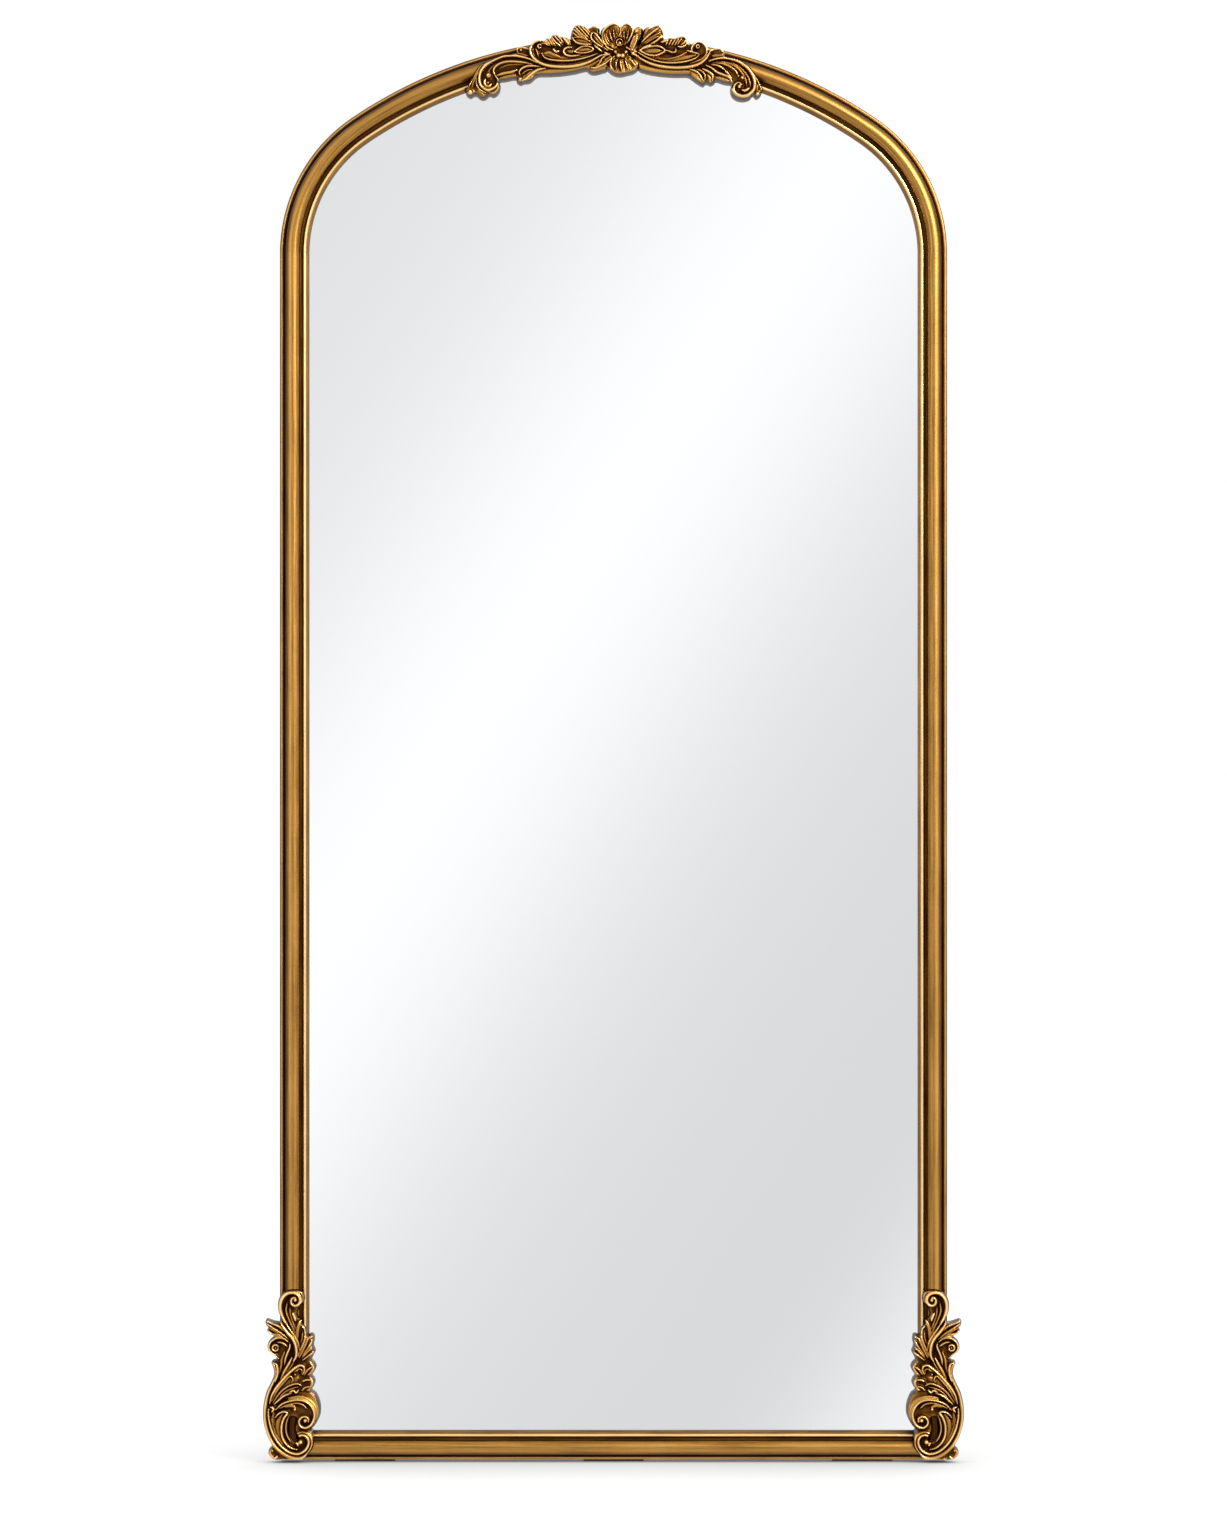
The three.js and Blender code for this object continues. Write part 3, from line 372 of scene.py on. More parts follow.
@dataclass(frozen=True)
class PlatedMetal(Finish):
    """Plated pressed metal, finely brushed, with dull cloudy patches."""

    plating: Colour = (0.56, 0.57, 0.59)
    dull: Colour = (0.40, 0.41, 0.43)
    smooth: float = 0.28

    def paint(self, graph: Graph) -> dict:
        """Returns inputs made from brushing lines and clouds."""
        place = graph.place()
        parts = graph.add("SeparateXYZ", {"Vector": place})
        lines = graph.use(Effects.lines(), {
            "Along": parts.outputs["Z"], "Across": parts.outputs["X"], "Fineness": 2600.0,
            "Stretch": 0.03, "Seed": 1.0}).outputs[0]
        patchy = graph.span(graph.noise(place, 75.0, 4.0, 0.65), 0.4, 0.65)
        toned = graph.mix(patchy, self.plating, self.dull)
        flecks = graph.times(graph.flecks(place, 800.0, 0.34, 0.06), 0.4)
        return {"Base Color": graph.mix(flecks, toned, dimmed(self.dull, 0.45)), "Metallic": 1.0,
                "Roughness": graph.math("MULTIPLY_ADD", patchy, 0.14, self.smooth),
                "Normal": graph.bump(lines, 0.12, 0.0002)}


@dataclass(frozen=True)
class Rubber(Finish):
    """Matt black rubber with a faint dusty bloom."""

    black: Colour = (0.018, 0.018, 0.019)
    bloom: Colour = (0.07, 0.068, 0.064)

    def paint(self, graph: Graph) -> dict:
        """Returns inputs made from dust and a fine moulded grain."""
        place = graph.place()
        dust = graph.flecks(place, 300.0, 0.5, 0.25)
        return {"Base Color": graph.mix(graph.times(dust, 0.5), self.black, self.bloom),
                "Roughness": graph.span(dust, 0.0, 1.0, 0.6, 0.8),
                "Normal": graph.bump(graph.dents(place, 500.0, 0.6), 0.25, 0.0003)}


GILDED_WOOD = Gilding("Gilded wood", "gilded_wood")
GILDED_CASTING = Gilding("Gilded casting", "gilded_casting", line_fineness=0.0, wear_strength=0.35,
                         dent_scale=170.0)
MIRROR_SILVER = Silvering("Mirror silver", "silvered_glass")
BACKING = Fibreboard("Brown fibreboard", "fibreboard")
ZINC = PlatedMetal("Zinc plate", "zinc_steel")
BRASS = PlatedMetal("Brass plate", "brass_screw", (0.66, 0.46, 0.17), (0.47, 0.31, 0.11), 0.24)
BLACK_RUBBER = Rubber("Black rubber", "black_rubber")


# ---- Meshes ----


def link(name: str, data: bpy.types.ID) -> bpy.types.Object:
    """Returns a new object in the scene that shows data."""
    made = bpy.data.objects.new(name, data)
    bpy.context.scene.collection.objects.link(made)
    return made


def new_piece(name: str, places: Array | Sequence, faces: Sequence[Sequence[int]],
              values: dict[str, Array] | None = None, crease: float = CREASE) -> bpy.types.Object:
    """Makes a closed mesh piece with its faces turned out.

    Args:
        name: The piece's name.
        places: A place for each vertex.
        faces: The vertices of each face.
        values: Numbers to keep at each vertex, by attribute name.
        crease: Edges that turn by more than this angle stay sharp.

    Returns:
        The new object, linked to the scene.
    """
    mesh = bpy.data.meshes.new(name)
    mesh.from_pydata([tuple(p) for p in places], [], [list(f) for f in faces])
    for label, numbers in (values or {}).items():
        layer = mesh.attributes.new(label, "FLOAT", "POINT")
        layer.data.foreach_set("value", np.asarray(numbers, np.float32))
    work = bmesh.new()
    work.from_mesh(mesh)
    return piece_of(name, work, mesh, crease)


def piece_of(name: str, work: BMesh, mesh: bpy.types.Mesh | None = None,
             crease: float = CREASE) -> bpy.types.Object:
    """Makes a piece from a worked mesh.

    Args:
        name: The piece's name.
        work: The worked mesh, which is freed.
        mesh: The mesh that keeps the work, or none for a new one.
        crease: Edges that turn by more than this angle stay sharp.

    Returns:
        The new object, linked to the scene.
    """
    soften(work, crease)
    mesh = mesh or bpy.data.meshes.new(name)
    work.to_mesh(mesh)
    work.free()
    return link(name, mesh)


def soften(work: BMesh, crease: float) -> None:
    """Turns the faces out, shades them smooth and keeps edges over the crease angle sharp."""
    bmesh.ops.recalc_face_normals(work, faces=work.faces)
    for face in work.faces:
        face.smooth = True
    for edge in work.edges:
        edge.smooth = len(edge.link_faces) != 2 or edge.calc_face_angle() < crease


def stand_for(piece: bpy.types.Object, node: str, body: str, finish: Finish) -> None:
    """Lets a piece take the place of a node: it rides on the node's body and gets its finish."""
    finish.dress(piece)
    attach(piece, body)
    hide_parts(node)
    LOG.info("%s replaces %s on %s, %d faces", piece.name, node, body, len(piece.data.polygons))


def worked(thing: bpy.types.Object) -> BMesh:
    """Returns the mesh that an object shows with its modifiers, for more work."""
    drawn = bpy.data.meshes.new_from_object(thing.evaluated_get(bpy.context.evaluated_depsgraph_get()))
    work = bmesh.new()
    work.from_mesh(drawn)
    bpy.data.meshes.remove(drawn)
    return work


def loops_mesh(loops: Sequence[Sequence[tuple]], bevel: float, resolution: int,
               thickness: float = 0.0) -> BMesh:
    """Makes a filled plate, or round wire where there is no thickness.

    Args:
        loops: Closed lines of (x, y, z); a plate's lie in the plane of X and Y.
        bevel: The plate's softened edge or the wire's radius.
        resolution: The steps of that bevel.
        thickness: The plate's thickness.

    Returns:
        The mesh, for more work.
    """
    curve = bpy.data.curves.new("loops", "CURVE")
    curve.dimensions = "2D" if thickness else "3D"
    curve.bevel_depth, curve.bevel_resolution = bevel, resolution
    if thickness:
        curve.fill_mode = "BOTH"
        curve.extrude, curve.offset = thickness / 2 - bevel, -bevel
    for loop in loops:
        spline = curve.splines.new("POLY")
        spline.points.add(len(loop) - 1)
        for point, place in zip(spline.points, loop):
            point.co = (*place, 1.0)
        spline.use_cyclic_u = True
    holder = link("loops", curve)
    work = worked(holder)
    bmesh.ops.remove_doubles(work, verts=work.verts, dist=SAME)
    bpy.data.objects.remove(holder)
    bpy.data.curves.remove(curve)
    return work


def plate_mesh(outlines: Sequence[Sequence[Point]], back: float, front: float,
               bevel: float) -> BMesh:
    """Makes a flat plate with softened edges.

    Args:
        outlines: Its outline in X and Z, then its holes.
        back: The Y of its rear face.
        front: The Y of its front face.
        bevel: The width of its softened edges.

    Returns:
        The plate's mesh.
    """
    loops = [[(x, z, 0.0) for x, z in outline] for outline in outlines]
    work = loops_mesh(loops, bevel, 1, abs(front - back))
    turn = Matrix.Translation((0, (front + back) / 2, 0)) @ Matrix.Rotation(math.pi / 2, 4, "X")
    bmesh.ops.transform(work, matrix=turn, verts=work.verts)
    return work


def ring_points(x: float, z: float, radius: float, count: int) -> list[Point]:
    """Returns a circle in X and Z as count points."""
    angles = [2 * math.pi * i / count for i in range(count)]
    return [(x + radius * math.cos(a), z + radius * math.sin(a)) for a in angles]


def lathe_rings(profile: Sequence[Point], sides: int) -> tuple[list[tuple], list[tuple]]:
    """Turns a profile of (radius, height) about the Y axis; it starts and ends on the axis.

    Args:
        profile: The points, from the far end to the near end.
        sides: How many steps go round.

    Returns:
        The places and the faces.
    """
    places = [(0.0, profile[0][1], 0.0)]
    for radius, height in profile[1:-1]:
        places += [(x, height, z) for x, z in ring_points(0.0, 0.0, radius, sides)]
    places.append((0.0, profile[-1][1], 0.0))
    last = len(places) - 1
    faces = []
    for k in range(sides):
        n = (k + 1) % sides
        faces.append((0, 1 + k, 1 + n))
        for ring in range(len(profile) - 3):
            start = 1 + ring * sides
            faces.append((start + k, start + n, start + sides + n, start + sides + k))
        faces.append((last, last - sides + n, last - sides + k))
    return places, faces


# ---- The frame's outline and moulding ----


@dataclass(frozen=True)
class Station:
    """A place on the frame's outer edge, with the way in from it and its distance along."""

    x: float
    z: float
    in_x: float
    in_z: float
    along: float = 0.0

    def mirrored(self) -> "Station":
        """Returns the same place on the other side."""
        return Station(-self.x, self.z, -self.in_x, self.in_z, self.along)


@dataclass(frozen=True)
class ArchedOutline:
    """The outer edge: straight stiles, two shoulders and a crown of larger radius."""

    half_width: float
    foot: float
    spring: float
    apex: float
    shoulder_radius: float = 0.191
    shoulder_steps: int = 44
    crown_steps: int = 40

    @property
    def shoulder_x(self) -> float:
        """The shoulder's centre, out from the middle."""
        return self.half_width - self.shoulder_radius

    @property
    def crown_drop(self) -> float:
        """How far the crown's centre lies under the spring line."""
        over = self.apex - self.spring - self.shoulder_radius
        return (self.shoulder_x**2 - over**2) / (2 * over)

    @property
    def crown_radius(self) -> float:
        """The crown's radius."""
        return self.apex - self.spring + self.crown_drop

    @property
    def crown_half_angle(self) -> float:
        """The angle from the apex to where the crown meets a shoulder."""
        return math.atan2(self.shoulder_x, self.crown_drop)

    def left_arch(self) -> list[Station]:
        """Returns the places from the left spring point to the apex."""
        turn = math.pi / 2 - self.crown_half_angle
        stations = []
        for i in range(self.shoulder_steps + 1):
            angle = turn * i / self.shoulder_steps
            stations.append(self._on_arc(-self.shoulder_x, self.spring, self.shoulder_radius,
                                         math.pi - angle, angle * self.shoulder_radius))
        for i in range(1, self.crown_steps + 1):
            angle = self.crown_half_angle * i / self.crown_steps
            along = turn * self.shoulder_radius + angle * self.crown_radius
            stations.append(self._on_arc(0.0, self.spring - self.crown_drop, self.crown_radius,
                                         math.pi / 2 + self.crown_half_angle - angle, along))
        return stations

    @staticmethod
    def _on_arc(x: float, z: float, radius: float, angle: float, along: float) -> Station:
        """Returns a place on an arc, facing its centre."""
        out_x, out_z = math.cos(angle), math.sin(angle)
        return Station(x + radius * out_x, z + radius * out_z, -out_x, -out_z, along)

    def inset(self, x: Array, z: Array) -> Array:
        """Returns how far in from the outer edge each place lies, less than 0 outside it."""
        side = np.abs(x)
        low = np.minimum(self.half_width - side, z - self.foot)
        shoulder = self.shoulder_radius - np.hypot(side - self.shoulder_x, z - self.spring)
        centre_z = self.spring - self.crown_drop
        crown = self.crown_radius - np.hypot(side, z - centre_z)
        on_crown = np.arctan2(side, z - centre_z) < self.crown_half_angle
        high = np.where(on_crown, crown, shoulder)
        return np.where(z < self.spring, low, high)


@dataclass(frozen=True)
class MouldingSection:
    """The moulding's section: widths run in from the outer edge, heights out from the back."""

    face: float = 34 * MM
    torus_height: float = 30 * MM
    torus_rise: float = 9 * MM
    torus_radius: float = 8.4 * MM
    torus_from_edge: float = 15.2 * MM
    outer_bead_height: float = 17.4 * MM
    outer_bead_radius: float = 2.1 * MM
    groove_width: float = 1.4 * MM
    groove_height: float = 15 * MM
    flank_lift: float = 2 * MM
    inner_bead_height: float = 22.6 * MM
    inner_bead_radius: float = 1.6 * MM
    inner_bead_from_sight: float = 4.9 * MM
    cove_height: float = 20 * MM
    sight_height: float = 15.2 * MM
    rebate_depth: float = 10.9 * MM
    rebate_width: float = 7 * MM
    samples: int = 400

    def points(self) -> Array:
        """Returns the closed section as rows of inset, height, tone and bareness; the tone is brown glaze
        in the grooves, painted shade on the flanks and sides and painted highlight on the bead and torus
        crowns.
        """
        bead = self.outer_bead_radius
        bead_centre = self.outer_bead_height - bead
        groove = (2 * bead + self.groove_width, self.groove_height)
        torus = (self.torus_from_edge, self.torus_height - self.torus_rise)
        torus_start = torus[0] - self.torus_radius
        torus_end = torus[0] + self.torus_radius
        inner = self.face - self.inner_bead_from_sight
        inner_centre = self.inner_bead_height - self.inner_bead_radius
        rebate = self.face - self.rebate_width
        rows = [(0.0, 0.0, 0.2, 0.0), (0.0, 0.35 * bead_centre, 0.3, 0.0),
                (0.0, 0.8 * bead_centre, 0.3, 0.0)]
        rows += arc_rows((bead, bead_centre), bead, 10, (0.14, 0.24, 0.5, 0.86, 0.8, 0.25))
        rows += curve_rows((2 * bead, bead_centre), groove, 2, 0.12, 0.12)
        rows += curve_rows(groove, (torus_start, torus[1]), 8, 0.18, 0.4,
                           (torus_start, self.groove_height + self.flank_lift))
        # The torus is lighter over its crown and darker on both flanks: painted highlight and painted
        # shade.
        rows += arc_rows(torus, self.torus_radius, 28,
                         (0.18, 0.2, 0.28, 0.42, 0.6, 0.6, 0.48, 0.48, 0.48, 0.46, 0.36, 0.2),
                         self.torus_rise)
        rows += curve_rows((torus_end, torus[1]), (inner - self.inner_bead_radius, self.cove_height),
                           8, 0.2, 0.1, (torus_end, self.cove_height))
        rows += arc_rows((inner, inner_centre), self.inner_bead_radius, 8, (0.05, 0.9, 1.0, 0.9, 0.6))
        rows += curve_rows((inner + self.inner_bead_radius, inner_centre),
                           (self.face, self.sight_height), 5, 0.42, 0.36)
        rows += [(self.face, self.sight_height, 0.2, 0.0), (self.face, self.rebate_depth, 0.1, 0.0),
                 (rebate, self.rebate_depth, 0.1, 1.0), (rebate, 0.0, 0.1, 1.0),
                 (0.5 * rebate, 0.0, 0.1, 1.0), (0.6 * MM, 0.0, 0.1, 1.0)]
        return np.array(drop_repeats(rows))

    def surface_height(self, inset: Array) -> Array:
        """Returns the front surface's height at each inset, and 0 off the moulding."""
        rows = self.points()
        front = rows[rows[:, 3] == 0.0]
        order = np.argsort(front[:, 0], kind="stable")
        spots = np.linspace(0.0, self.face, self.samples)
        inside = np.interp(spots, front[order, 0], np.maximum.accumulate(front[order, 1]))
        top = np.interp(spots, front[order, 0], front[order, 1])
        heights = np.where(spots < self.torus_from_edge, inside, top)
        return np.interp(inset, spots, heights, left=0.0, right=0.0)


def arc_rows(centre: Point, radius: float, steps: int, gilding_and_shade: Sequence[float],
             rise: float | None = None) -> list[tuple]:
    """Returns rows of a half circle, or half oval of another rise, from the outer side inwards."""
    rows = []
    for i in range(steps + 1):
        angle = math.pi * (1 - i / steps)
        tone = float(np.interp(i / steps, np.linspace(0, 1, len(gilding_and_shade)), gilding_and_shade))
        rows.append((centre[0] + radius * math.cos(angle),
                     centre[1] + (rise or radius) * math.sin(angle), tone, 0.0))
    return rows


def curve_rows(start: Point, end: Point, steps: int, tone: float, end_tone: float,
               control: Point | None = None) -> list[tuple]:
    """Returns rows of a straight stretch, or a quadratic curve with its control, less its start."""
    control = control or tuple((a + b) / 2 for a, b in zip(start, end))
    rows = []
    for t in np.arange(1, steps + 1) / steps:
        x, y = ((1 - t) ** 2 * a + 2 * t * (1 - t) * b + t * t * c
                for a, b, c in zip(start, control, end))
        rows.append((x, y, tone + (end_tone - tone) * t, 0.0))
    return rows


def drop_repeats(rows: list[tuple]) -> list[tuple]:
    """Drops rows that lie on the row before them."""
    return [row for i, row in enumerate(rows) if math.dist(row[:2], rows[i - 1][:2]) > SAME]


@dataclass
class MouldedFrame:
    """The five lengths of gilded moulding."""

    outline: ArchedOutline
    back_y: float
    section: MouldingSection = field(default_factory=MouldingSection)
    joint_gap: float = 0.3 * MM
    straight_steps: int = 24
    end_share: float = 1.5
    # The stile's foot under the corner carving is toned darker: painted shade where the carving covers it.
    hidden_foot: float = 60 * MM
    painted_foot_shade: float = 0.3

    def straight(self, start: Station, middle_in: Point, end: Station) -> list[Station]:
        """Returns the stations of a straight length whose ends may be mitred.

        Args:
            start: The first place.
            middle_in: The way in between the ends.
            end: The last place.

        Returns:
            The stations, from start to end.
        """
        length = math.dist((start.x, start.z), (end.x, end.z))
        stations = [start]
        clear = self.end_share * self.section.face / length
        for share in np.linspace(clear, 1 - clear, self.straight_steps):
            x = start.x + (end.x - start.x) * share
            z = start.z + (end.z - start.z) * share
            stations.append(Station(x, z, *middle_in, share * length))
        return [*stations, Station(end.x, end.z, end.in_x, end.in_z, length)]

    def members(self) -> dict[str, list[Station]]:
        """Returns the stations of each length of moulding, by its node's name."""
        line = self.outline
        gap = self.joint_gap * math.sqrt(0.5)
        foot = Station(-line.half_width, line.foot + gap, 1.0, 1.0)
        stile = self.straight(foot, (1.0, 0.0), Station(-line.half_width, line.spring, 1.0, 0.0))
        rail = self.straight(Station(-line.half_width + gap, line.foot, 1.0, 1.0), (0.0, 1.0),
                             Station(line.half_width - gap, line.foot, -1.0, 1.0))
        arch = line.left_arch()
        return {"left_stile": stile, "right_stile": [s.mirrored() for s in stile],
                "bottom_rail": rail, "arch_left": arch, "arch_right": [s.mirrored() for s in arch]}

    def build(self) -> None:
        """Builds the lengths of moulding and puts each in the place of its node."""
        for name, stations in self.members().items():
            stand_for(self.length_of(name, stations), name, ROOT, GILDED_WOOD)

    def length_of(self, name: str, stations: Sequence[Station]) -> bpy.types.Object:
        """Sweeps the section through stations.

        Args:
            name: The node's name.
            stations: The places to sweep it through.

        Returns:
            The piece.
        """
        rows = self.section.points()
        count, copies = len(rows), len(stations)
        around = np.concatenate([[0.0], np.cumsum(np.hypot(*np.diff(rows[:, :2], axis=0).T))])
        rings = [np.stack([s.x + s.in_x * rows[:, 0], self.back_y - rows[:, 1],
                           s.z + s.in_z * rows[:, 0]], 1) for s in stations]
        last = (copies - 1) * count
        faces = [tuple(range(count)), tuple(range(last, last + count))]
        for ring in range(0, last, count):
            for k in range(count):
                a, b = ring + k, ring + (k + 1) % count
                faces.append((a, b, b + count, a + count))
        # Painted shade on the stile's foot under the corner carving.
        hidden = [name.endswith("stile") and s.along < self.hidden_foot for s in stations]
        shade = np.repeat(np.where(hidden, self.painted_foot_shade, 1.0), count)
        values = {"gild": np.tile(rows[:, 2], copies) * shade, "bare": np.tile(rows[:, 3], copies),
                  "across": np.tile(around, copies),
                  "along": np.repeat([s.along for s in stations], count)}
        return new_piece(f"{name}_moulding", np.concatenate(rings), faces, values)


# ---- Carving ----


class Cut(Enum):
    """The shapes that a carver's stroke can have across it, by their names in a drawing."""

    ROLL = "roll"
    LEAF = "leaf"
    SCOOP = "scoop"
    HOLLOW = "hollow"
    OPENING = "opening"


@dataclass(frozen=True)
class Stroke:
    """One stroke of a carving, in the drawing's units; its rise is a share of the relief."""

    cut: Cut
    width: float
    rise: float
    line: tuple[Point, ...]
    tips: Point


def ringed(x: float, y: float, radius: float) -> tuple[Point, ...]:
    """Returns a closed round line for a strand that rings an eye."""
    return tuple((x + radius * math.cos(a), y + radius * math.sin(a))
                 for a in np.linspace(0, 2 * math.pi, 9))


def smooth_line(points: Sequence[Point], spacing: float, closed: bool = False) -> Array:
    """Runs a smooth curve through points.

    Args:
        points: What the curve passes through.
        spacing: How far apart its samples lie.
        closed: Whether it comes back to its start.

    Returns:
        The samples, one a row.
    """
    knots = np.array(points, float)
    if len(knots) == 1:
        return knots
    if closed:
        knots = np.concatenate([knots[-2:], knots, knots[:3]])
    steps = np.sqrt(np.hypot(*np.diff(knots, axis=0).T))[:, None]
    slopes = np.diff(knots, axis=0) / steps
    inner = (slopes[:-1] * steps[1:] + slopes[1:] * steps[:-1]) / (steps[:-1] + steps[1:])
    tangents = np.concatenate([slopes[:1], inner, slopes[-1:]])
    first, last = (2, len(knots) - 3) if closed else (0, len(knots) - 1)
    samples = []
    for i in range(first, last):
        chord = math.dist(knots[i], knots[i + 1])
        t = np.linspace(0, 1, max(2, math.ceil(chord / spacing) + 1))[:-1, None]
        samples.append((2 * t**3 - 3 * t**2 + 1) * knots[i] + (t**3 - 2 * t**2 + t) * steps[i]
                       * tangents[i] + (3 * t**2 - 2 * t**3) * knots[i + 1]
                       + (t**3 - t**2) * steps[i] * tangents[i + 1])
    if not closed:
        samples.append(knots[-1:])
    return np.concatenate(samples)


@dataclass(frozen=True)
class Drawing:
    """A carving's outline and its strokes, from the lowest to the highest."""

    ground: tuple[Point, ...]
    strokes: tuple[Stroke, ...]

    TIPS = {Cut.ROLL: (0.45, 0.45), Cut.LEAF: (0.3, 0.3), Cut.SCOOP: (0.5, 0.5),
            Cut.HOLLOW: (1.0, 1.0), Cut.OPENING: (1.0, 1.0)}

    @classmethod
    def read(cls, text: str) -> "Drawing":
        """Reads a drawing.

        A row starts with a cut's name, its half width and its rise, and goes on with the points that
        it passes. A bead is a roll with one point. A ring gives its middle and its radius. A row may
        end with the fullness of its two tips, and a row that starts with a space goes on with the row
        before it.

        Args:
            text: The rows.

        Returns:
            The drawing.
        """
        ground: tuple[Point, ...] = ()
        strokes = []
        for row in text.replace("\n    ", " ").strip().splitlines():
            name, *words = row.split()
            if name == "ground":
                ground = tuple(cls._point(word) for word in words)
                continue
            width, rise = float(words[0]), float(words[1])
            tips = [cls._point(word[5:]) for word in words if word.startswith("tips=")]
            if name == "ring":
                cut, line = Cut.ROLL, ringed(*cls._point(words[2]), float(words[3]))
            else:
                cut = Cut.ROLL if name == "bead" else Cut(name)
                line = tuple(cls._point(word) for word in words[2:] if word[0] != "t")
            strokes.append(Stroke(cut, width, rise, line, tips[0] if tips else cls.TIPS[cut]))
        return cls(ground, tuple(strokes))

    @staticmethod
    def _point(word: str) -> Point:
        """Returns the point that a word such as 12,34.5 gives."""
        x, y = word.split(",")
        return float(x), float(y)


@dataclass(frozen=True)
class ReliefSizes:
    """How a carving is laid out and how deep it is cut."""

    unit: float = 1.1656 * MM
    fine_step: float = 0.34
    quick_step: float = 0.6
    back: float = 11.2 * MM
    ground: float = 31 * MM
    crest: float = 37.6 * MM
    lip: float = 15 * MM
    edge_roll: float = 2.3
    undercut: float = 0.7
    undercut_depth: float = 0.9 * MM
    vein_depth: float = 1.3 * MM
    skirt: float = 2.0
    skirt_share: float = 0.45
    clearance: float = 0.3 * MM
    least_shell: float = 0.6 * MM
    margin: float = 2.0
    coarsest_line: float = 0.4
    vein_width: float = 0.2
    tip_rise: float = 0.75
    smoothing: float = 0.22
    near_reach: float = 0.8
    far_reach: float = 2.2
    rim_shade: float = 0.35
    rim_reach: float = 1.6


class Relief:
    """A carved surface: a height over each point of a square grid inside an outline."""

    # Tones at percentiles of curvature and height: painted shade in creases and hollows, painted highlight
    # on raised parts.
    SHARES = (0, 12, 30, 50, 75, 92, 100)
    TONES = (0.0, 0.02, 0.25, 0.5, 0.7, 0.95, 1.0)

    def __init__(self, drawing: Drawing, sizes: ReliefSizes) -> None:
        """Lays the ground and works every stroke into it.

        Args:
            drawing: What is carved.
            sizes: How it is laid out.
        """
        self.sizes = sizes
        self.step = sizes.fine_step
        outline = smooth_line(drawing.ground, self.step, closed=True)
        low, high = outline.min(0) - sizes.margin, outline.max(0) + sizes.margin
        self.x = np.arange(low[0], high[0], self.step)
        self.y = np.arange(low[1], high[1], self.step)
        whole = (slice(None), slice(None))
        away = self.nearest(outline, whole, closed=True)[0]
        self.edge = np.where(self.within(outline), away, -away)
        self.height = np.full(self.edge.shape, sizes.ground)
        for stroke in drawing.strokes:
            if stroke.cut is Cut.OPENING:
                line = smooth_line(stroke.line, self.step)
                self.edge = np.minimum(self.edge, self.nearest(line, whole)[0] - stroke.width)
            else:
                self.carve(stroke)

    def within(self, outline: Array) -> Array:
        """Returns which grid points lie inside a closed outline."""
        inside = np.zeros((len(self.y), len(self.x)), bool)
        for (ax, ay), (bx, by) in zip(outline, np.roll(outline, -1, 0)):
            if ay == by:
                continue
            rows = (ay > self.y) != (by > self.y)
            crossing = ax + (self.y - ay) / (by - ay) * (bx - ax)
            inside ^= rows[:, None] & (self.x[None, :] < crossing[:, None])
        return inside

    def nearest(self, line: Array, window: tuple[slice, slice],
                closed: bool = False) -> tuple[Array, Array]:
        """Finds each grid point's nearest place on a line.

        Args:
            line: The line's samples.
            window: The rows and columns of the grid to look at.
            closed: Whether the line comes back to its start.

        Returns:
            The distance and the share of the line's length there.
        """
        gx, gy = np.meshgrid(self.x[window[1]], self.y[window[0]])
        grid = np.stack([gx.ravel(), gy.ravel()], 1).astype(np.float32)
        samples = line.astype(np.float32)
        best = np.full(len(grid), np.inf, np.float32)
        index = np.zeros(len(grid), int)
        chunk = 48
        for start in range(0, len(samples), chunk):
            part = samples[start:start + chunk]
            squared = ((grid[:, None, :] - part[None]) ** 2).sum(2)
            found = squared.argmin(1)
            value = squared[np.arange(len(grid)), found]
            better = value < best
            best[better] = value[better]
            index[better] = found[better] + start
        if len(line) == 1:
            return np.sqrt(best).reshape(gx.shape), np.full(gx.shape, 0.5)
        tangent = np.gradient(line, axis=0)
        if closed:
            tangent = np.roll(line, -1, 0) - np.roll(line, 1, 0)
        tangent /= np.maximum(np.hypot(*tangent.T), 1e-9)[:, None]
        rest = grid - line[index]
        along = (rest * tangent[index]).sum(1)
        past_end = ((index == 0) & (along < 0)) | ((index == len(line) - 1) & (along > 0))
        slack = np.where(past_end & (not closed), 0.0, along)
        distance = np.sqrt(np.maximum(best - slack**2, 0.0))
        travelled = np.concatenate([[0.0], np.cumsum(np.hypot(*np.diff(line, axis=0).T))])
        share = np.clip((travelled[index] + along) / travelled[-1], 0.0, 1.0)
        return distance.reshape(gx.shape), share.reshape(gx.shape)

    def window(self, line: Array, reach: float) -> tuple[slice, slice]:
        """Returns the rows and columns of the grid that lie within reach of a line."""
        (x0, y0), (x1, y1) = line.min(0) - reach, line.max(0) + reach
        rows = np.searchsorted(self.y, (y0, y1))
        cols = np.searchsorted(self.x, (x0, x1))
        return slice(*rows), slice(*cols)

    def carve(self, stroke: Stroke) -> None:
        """Works one stroke into the surface."""
        sizes = self.sizes
        line = smooth_line(stroke.line, max(self.step, sizes.coarsest_line))
        window = self.window(line, stroke.width * sizes.skirt + sizes.undercut)
        distance, share = self.nearest(line, window)
        fullness = taper(share, stroke.tips)
        width = stroke.width * fullness
        rise = (sizes.crest - sizes.ground) * stroke.rise
        q = distance / width
        now = self.height[window]
        if stroke.cut is Cut.HOLLOW:
            floor = sizes.ground + rise
            sunk = floor + (now - floor) * np.clip(q, 0, 1) ** 3
            self.height[window] = np.where(q < 1, np.minimum(now, sunk), now)
            return
        top = sizes.ground + rise * (sizes.tip_rise + (1 - sizes.tip_rise) * fullness)
        raised = sizes.ground + (top - sizes.ground) * self.profile(stroke.cut, q)
        gap = np.clip(1 - (distance - width) / sizes.undercut, 0, 1) * ~(q < 1)
        under = now - sizes.undercut_depth * gap * ((now < top) & (now > sizes.ground))
        self.height[window] = np.maximum(np.maximum(under, raised), np.minimum(now, sizes.ground))

